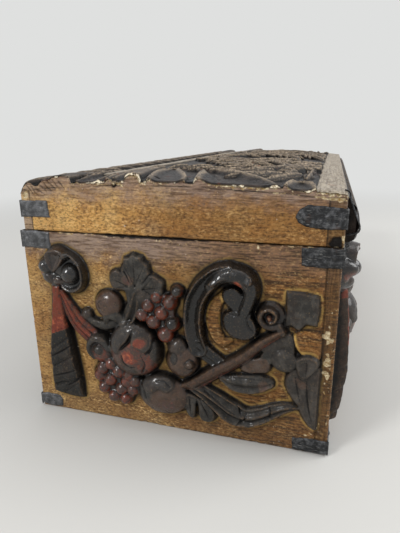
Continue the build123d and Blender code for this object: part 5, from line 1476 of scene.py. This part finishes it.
RAIL_LOW, RAIL_TOP = BODY_HEIGHT + 0.2, CROWN_POINTS[0][1]
FRONT_Y, REAR_Y = -DEPTH / 2 + FRONT_RAIL, LID_REAR_Y - REAR_RAIL
lay_boards("lid", (
    ("lid_front_rail", (-HALF_LENGTH, -DEPTH / 2, RAIL_LOW), (HALF_LENGTH, FRONT_Y, RAIL_TOP)),
    ("lid_rear_rail", (-HALF_LENGTH, REAR_Y, RAIL_LOW), (HALF_LENGTH, LID_REAR_Y, RAIL_TOP)),
    ("lid_left_rail", (-HALF_LENGTH, FRONT_Y, RAIL_LOW), (-INNER_X, REAR_Y, RAIL_TOP)),
    ("lid_right_rail", (INNER_X, FRONT_Y, RAIL_LOW), (HALF_LENGTH, REAR_Y, RAIL_TOP)),
), crowned)


def underside(points):
    """Lay a board's points on the crown line, from its underside up."""
    points[:, 2] += crown_height(points[:, 1]) - BODY_HEIGHT
    return points


board = box("lid_top_board_wood", (-HALF_LENGTH + 0.6, -DEPTH / 2 + 1.6, BODY_HEIGHT),
            (HALF_LENGTH - 0.6, LID_REAR_Y - 1.6, BODY_HEIGHT + 1.5), "lid", edge=0.4, seed=5,
            shape=underside)
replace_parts(board, "lid_top_board")


# Front moulding: its section as (out from the front, up from the rim), how far from the lid's ends it
# stops, and how wide its carving is, measured along the section.
MOULDING_SECTION = ((0.6, 1.5), (5.2, 1.6), (7.74, 4.0), (8.5, 9.0), (8.6, 14.5), (7.4, 21.0), (4.2, 28.0),
                    (0.4, 31.0))
MOULDING_START = 12.0
MOULDING_GIRTH = 42.0


def carve_moulding():
    """Overlapping leaves along the front moulding, each with a midrib, leaning one way."""
    strip = Carving(LENGTH - 2 * MOULDING_START, MOULDING_GIRTH, MOULDING_GRID)
    strip.start("leaves")
    strip.owner[:] = strip.current
    strip.height[:] = -1.6
    for leaf in range(-1, 23):
        x = 24 * leaf
        strip.strip([(x, 3, 7, 1.3), (x + 8, 14, 11, 2.2), (x + 20, 28, 9, 2), (x + 32, 37, 3, 1.4)],
                    leaf_section(0, 0.9))
        strip.groove([(x + 2, 4, 0.8, 1.2), (x + 9, 15, 0.9, 1.5), (x + 22, 29, 0.7, 1)], 0.7)
    strip.height = np.minimum(strip.height - 2.2, -0.1)
    strip.settle(113)
    strip.foot[:] = 0
    return strip


def on_moulding(across, up, height):
    """The moulding's face: up runs along its section from the rim to the top board."""
    section = smooth([(out, rise, 0, 0) for out, rise in MOULDING_SECTION], 0.8)[:, :2]
    steps = np.hypot(*np.diff(section, axis=0).T)
    run = np.concatenate([[0], np.cumsum(steps)]) / steps.sum() * MOULDING_GIRTH
    out, rise = np.interp(up, run, section[:, 0]), np.interp(up, run, section[:, 1])
    slope = np.gradient(section, axis=0)
    slope /= np.hypot(slope[:, 0], slope[:, 1])[:, None]
    normal_out, normal_up = np.interp(up, run, slope[:, 1]), np.interp(up, run, -slope[:, 0])
    return np.stack([across - LENGTH / 2 + MOULDING_START,
                     -DEPTH / 2 - np.maximum(out + height * normal_out, 0.05),
                     BODY_HEIGHT + rise + height * normal_up], axis=-1)


moulding = carve_moulding()
piece = patch(moulding, on_moulding, "leaves", "lid_moulding_carved", "lid", WALNUT)
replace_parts(piece, "lid_moulding")

# Its core, closed at both ends.
core = [(0, 1.5), *((out - 2.2, rise) for out, rise in MOULDING_SECTION[1:-1]), (0, 30.5)]
points = [(x, -DEPTH / 2 - max(out, 0), BODY_HEIGHT + rise)
          for x in (-LENGTH / 2 + MOULDING_START, LENGTH / 2 - MOULDING_START) for out, rise in core]
count = len(core)
quads = [(k, (k + 1) % count, count + (k + 1) % count, count + k) for k in range(count)]
backing = make_object("lid_moulding_wood", points, quads, "lid", WALNUT, smooth_shaded=False)
mesh = bmesh.new()
mesh.from_mesh(backing.data)
mesh.verts.ensure_lookup_table()
for ends in (range(count - 1, -1, -1), range(count, 2 * count)):
    mesh.faces.new([mesh.verts[k] for k in ends])
mesh.to_mesh(backing.data)
mesh.free()
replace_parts(backing, "lid_moulding")


# ------------------------ ironwork
STRAP = 1.0                # mm thick
STRAP_MARGIN = 1.5         # mm of grid kept free around a strap
SIDES = ((-1, "left"), (1, "right"))
# Corners are given from the chest's rear, or from its end, and up.
END_STRAPS = {
    # node: corners and nails
    "lid_strap_rear": ([(1.6, 160.6), (1.6, 172.4), (24.6, 172.6), (25.6, 160.8)],
                       [(8, 166.8), (20, 166.4)]),
    "rim_strap_rear": ([(-0.9, 137.6), (-0.9, 149.9), (12, 150.2), (23.4, 149.4), (23.7, 137.4)],
                       [(5, 143.6), (18.5, 144)]),
    "foot_strap_rear": ([(-0.9, 2.6), (-0.9, 11), (6, 12.6), (17, 12), (19.6, 8.6), (19, 2.2), (8, 1.2)],
                        [(5, 6.6)]),
    "lid_strap_front": ([(200.4, 168.6), (202.6, 172.8), (207.4, 175.8), (217, 175.4), (230.9, 174.2),
                         (230.9, 161.8), (216, 161.6), (207, 162.8), (202.2, 165.2)],
                        [(206.4, 168.2), (219.6, 168.4)]),
    "rim_strap_front": ([(205.6, 137.8), (205.4, 149), (216, 149.8), (230.9, 149.6), (230.9, 137.6),
                         (218, 137.2)], [(210.6, 143.6), (225, 143.8)]),
    "foot_strap_front": ([(206.4, 1.4), (206.2, 10.6), (220, 12), (230.9, 11.6), (230.9, 1.2)],
                         [(225, 6.6)]),
}
SIDE_STRAPS = {
    # node: corners, nails, and the face that carries it
    "lid_strap_rear": ([(-0.9, 160.6), (-0.9, 172.4), (21.4, 172.8), (22, 161)], [(17, 166.8)], LID_REAR_Y),
    "rim_strap_rear": ([(-0.9, 137.6), (-0.9, 149.9), (21.6, 149.8), (22, 137.6)], [(17, 143.6)], DEPTH / 2),
    "foot_strap_rear": ([(-0.9, 1.4), (-0.9, 11.6), (21.4, 12), (22, 1.2)], [(17, 6.6)], DEPTH / 2),
    "lid_strap_front": ([(-0.9, 163.2), (-0.9, 174.6), (6.3, 174.4), (6.5, 163)], [], -DEPTH / 2),
    "rim_strap_front": ([(-0.9, 137.6), (-0.9, 149.6), (10.6, 149.6), (11, 137.8)], [(6, 143.6)], -DEPTH / 2),
    "foot_strap_front": ([(-0.9, 1.2), (-0.9, 11.6), (21.4, 12), (22, 1.4)], [(17, 6.6)], -DEPTH / 2),
}


def leg(name, corners, nails, seed):
    """One leg of a strap as a small carving of sheet iron with clipped corners, dents and domed nails, and
    where it starts on the face that it lies on."""
    us, vs = zip(*corners)
    start_u, start_v = min(us) - STRAP_MARGIN, min(vs) - STRAP_MARGIN
    iron = Carving(max(us) - min(us) + 2 * STRAP_MARGIN, max(vs) - min(vs) + 2 * STRAP_MARGIN, IRON_GRID)
    iron.start(name)
    iron.slab([(u - start_u, v - start_v) for u, v in corners], STRAP, 0, bevel=0.7, rounded=False, wall=6)
    for u, v in nails:
        iron.boss(u - start_u, v - start_v, 2.1, 2.0, STRAP + 0.95, low=STRAP * 0.8)
    dents = 0.12 * lumps(iron.height.shape, 4.5 / iron.step, seed)
    iron.height += np.where(iron.height > 0.5, dents, 0)
    iron.settle(5, 0.25)
    iron.foot[:] = 0
    return iron, start_u, start_v


def carrier(strap):
    """The body that a strap is nailed to."""
    return "lid" if strap.startswith("lid") else "chest"


for name, (corners, nails) in END_STRAPS.items():
    body = carrier(name)
    iron, start_u, start_v = leg(name, corners, nails, int(corners[0][0] + 40) + len(name))
    for side, word in SIDES:
        def on_end(across, up, height, side=side):
            x = side * (LENGTH / 2 + np.maximum(height, -0.1))
            return np.stack([x, DEPTH / 2 - across - start_u, up + start_v], axis=-1)
        piece = patch(iron, on_end, name, f"{name}_{word}_end_leg", body, IRON, flip=side < 0)
        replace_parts(piece, f"{name}_{word}", f"{body}_nails")
for name, (corners, nails, level) in SIDE_STRAPS.items():
    body = carrier(name)
    iron, start_u, start_v = leg(name, corners, nails, int(corners[0][0] + 50) + len(name))
    facing = 1 if level > 0 else -1
    for side, word in SIDES:
        def on_side(across, up, height, side=side):
            y = level + facing * np.maximum(height, -0.1)
            return np.stack([side * (LENGTH / 2 - across - start_u), y, up + start_v], axis=-1)
        piece = patch(iron, on_side, name, f"{name}_{word}_side_leg", body, IRON, flip=side * facing < 0)
        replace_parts(piece, f"{name}_{word}", f"{body}_nails")

# Thin iron band over the moulding: its middle line as (out from the front, up from the rim).
BAND_LINE = ((-2.0, 34.4), (-0.4, 34.0), (1.2, 32.6), (2.4, 27.0), (5.9, 18.8), (8.3, 12.6), (7.9, 9.2),
             (4.6, 7.6), (0.4, 7.0))
BAND_X = -LENGTH / 2 + 9.5
BAND_HALF_WIDTH, BAND_HALF_THICKNESS = 1.4, 0.55


def iron_band():
    """The band, bent along its middle line, with rounded edges."""
    line = smooth([(out, rise, 0, 0) for out, rise in BAND_LINE], 1.2)[:, :2]
    slope = np.gradient(line, axis=0)
    slope /= np.hypot(slope[:, 0], slope[:, 1])[:, None]
    points, quads = [], []
    ring = 12
    for (out, rise), (run_out, run_up) in zip(line, slope):
        for k in range(ring):
            turn = 2 * pi * k / ring
            wide = np.sign(cos(turn)) * abs(cos(turn)) ** 0.5 * BAND_HALF_WIDTH
            thick = np.sign(sin(turn)) * abs(sin(turn)) ** 0.5 * BAND_HALF_THICKNESS
            points.append((BAND_X + wide, -DEPTH / 2 - out - thick * run_up,
                           BODY_HEIGHT + rise - thick * run_out))
    for step in range(len(line) - 1):
        for k in range(ring):
            a, b = step * ring + k, step * ring + (k + 1) % ring
            quads.append((a, b, b + ring, a + ring))
    return make_object("iron_band_bent", points, quads, "lid", IRON)


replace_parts(iron_band(), "iron_band")

# ------------------------ plain finishes for kept nodes
for name, node in nodes.items():
    if node.hide_render:
        continue
    node.data.materials.clear()
    node.data.materials.append(BARE if name == "bottom_board" else IRON)


# ------------------------ floor, light and camera
BACKDROP = "#dfe0df"
FLOOR = "#c5c4c0"
DAYLIGHT = "#f2f3f5"


def floor_paper():
    """Matt paper that keeps the shadow near the object and fades into the backdrop."""
    material, node, place = new_material("floor_paper")
    far = node("VectorMath", place, operation="LENGTH")
    paper = node("BsdfPrincipled", sockets={"Base Color": FLOOR, "Roughness": 0.9, "Specular IOR Level": 0.2})
    glow = node("Emission", BACKDROP, 1.0)
    faded = node("MixShader", node(STEP, far, 0.45, 1.5), paper, glow)
    node("OutputMaterial", faded)
    return material


def set_floor():
    """A round sheet of paper, 18 m across."""
    count, radius = 96, 9
    rim = [(radius * cos(2 * pi * k / count), radius * sin(2 * pi * k / count), 0) for k in range(count)]
    mesh = bpy.data.meshes.new("floor")
    mesh.from_pydata(rim, [], [tuple(range(len(rim)))])
    floor = bpy.data.objects.new("floor", mesh)
    bpy.context.scene.collection.objects.link(floor)
    floor.data.materials.append(floor_paper())


def set_room():
    """The camera sees the backdrop's colour, and the object an even, slightly cool daylight."""
    world = bpy.data.worlds.new("room")
    bpy.context.scene.world = world
    world.use_nodes = True
    world.node_tree.nodes.clear()
    node = partial(add, world.node_tree)
    shown = node(LARGER, node("LightPath", output="Is Camera Ray"),
                 node("LightPath", output="Is Transmission Ray"))
    mixed = node("MixShader", shown, node("Background", DAYLIGHT, 0.68), node("Background", BACKDROP, 1.0))
    node("OutputWorld", mixed)


def set_lamps():
    """Three round soft lamps: name, place, what it is aimed at, size in metres and power in watts."""
    for name, place, aim, size, power in (
        ("key", (-1.30, 0.80, 1.30), (-0.25, 0.03, 0.10), 0.45, 14.0),
        ("overhead", (0.0, -0.1, 1.9), (0, 0, 0.1), 1.6, 8.0),
        ("window", (0.2, -1.3, 1.15), (0.0, -0.35, 0.0), 1.2, 18.0),
    ):
        light = bpy.data.lights.new(name, "AREA")
        light.shape = "DISK"
        light.size = size
        light.energy = power
        lamp = bpy.data.objects.new(name, light)
        bpy.context.scene.collection.objects.link(lamp)
        lamp.location = place
        lamp.rotation_mode = "QUATERNION"
        lamp.rotation_quaternion = (Vector(aim) - Vector(place)).to_track_quat("-Z", "Y")


CAMERA_PLACE = (-0.5450, -0.1045, 0.2163)
CAMERA_YAW, CAMERA_PITCH, CAMERA_ROLL = 16.596, 16.632, -0.555      # degrees
CAMERA_LENS = 29.51


def set_camera():
    """The camera, a little more than one depth away and looking down at the left end."""
    yaw, pitch, roll = (radians(a) for a in (CAMERA_YAW, CAMERA_PITCH, CAMERA_ROLL))
    forward = Vector((cos(yaw) * cos(pitch), sin(yaw) * cos(pitch), -sin(pitch)))
    right = Vector((sin(yaw), -cos(yaw), 0))
    up = right.cross(forward)
    turned_right = cos(roll) * right + sin(roll) * up
    turned_up = -sin(roll) * right + cos(roll) * up
    data = bpy.data.cameras.new("camera")
    data.sensor_width = 36.0
    data.lens = CAMERA_LENS
    data.clip_start, data.clip_end = 0.01, 50
    camera = bpy.data.objects.new("camera", data)
    bpy.context.scene.collection.objects.link(camera)
    camera.matrix_world = Matrix.Translation(CAMERA_PLACE) @ Matrix(
        (turned_right, turned_up, -forward)).transposed().to_4x4()
    bpy.context.scene.camera = camera


set_floor()
set_room()
set_lamps()
set_camera()
bpy.context.scene.view_settings.view_transform = "Standard"
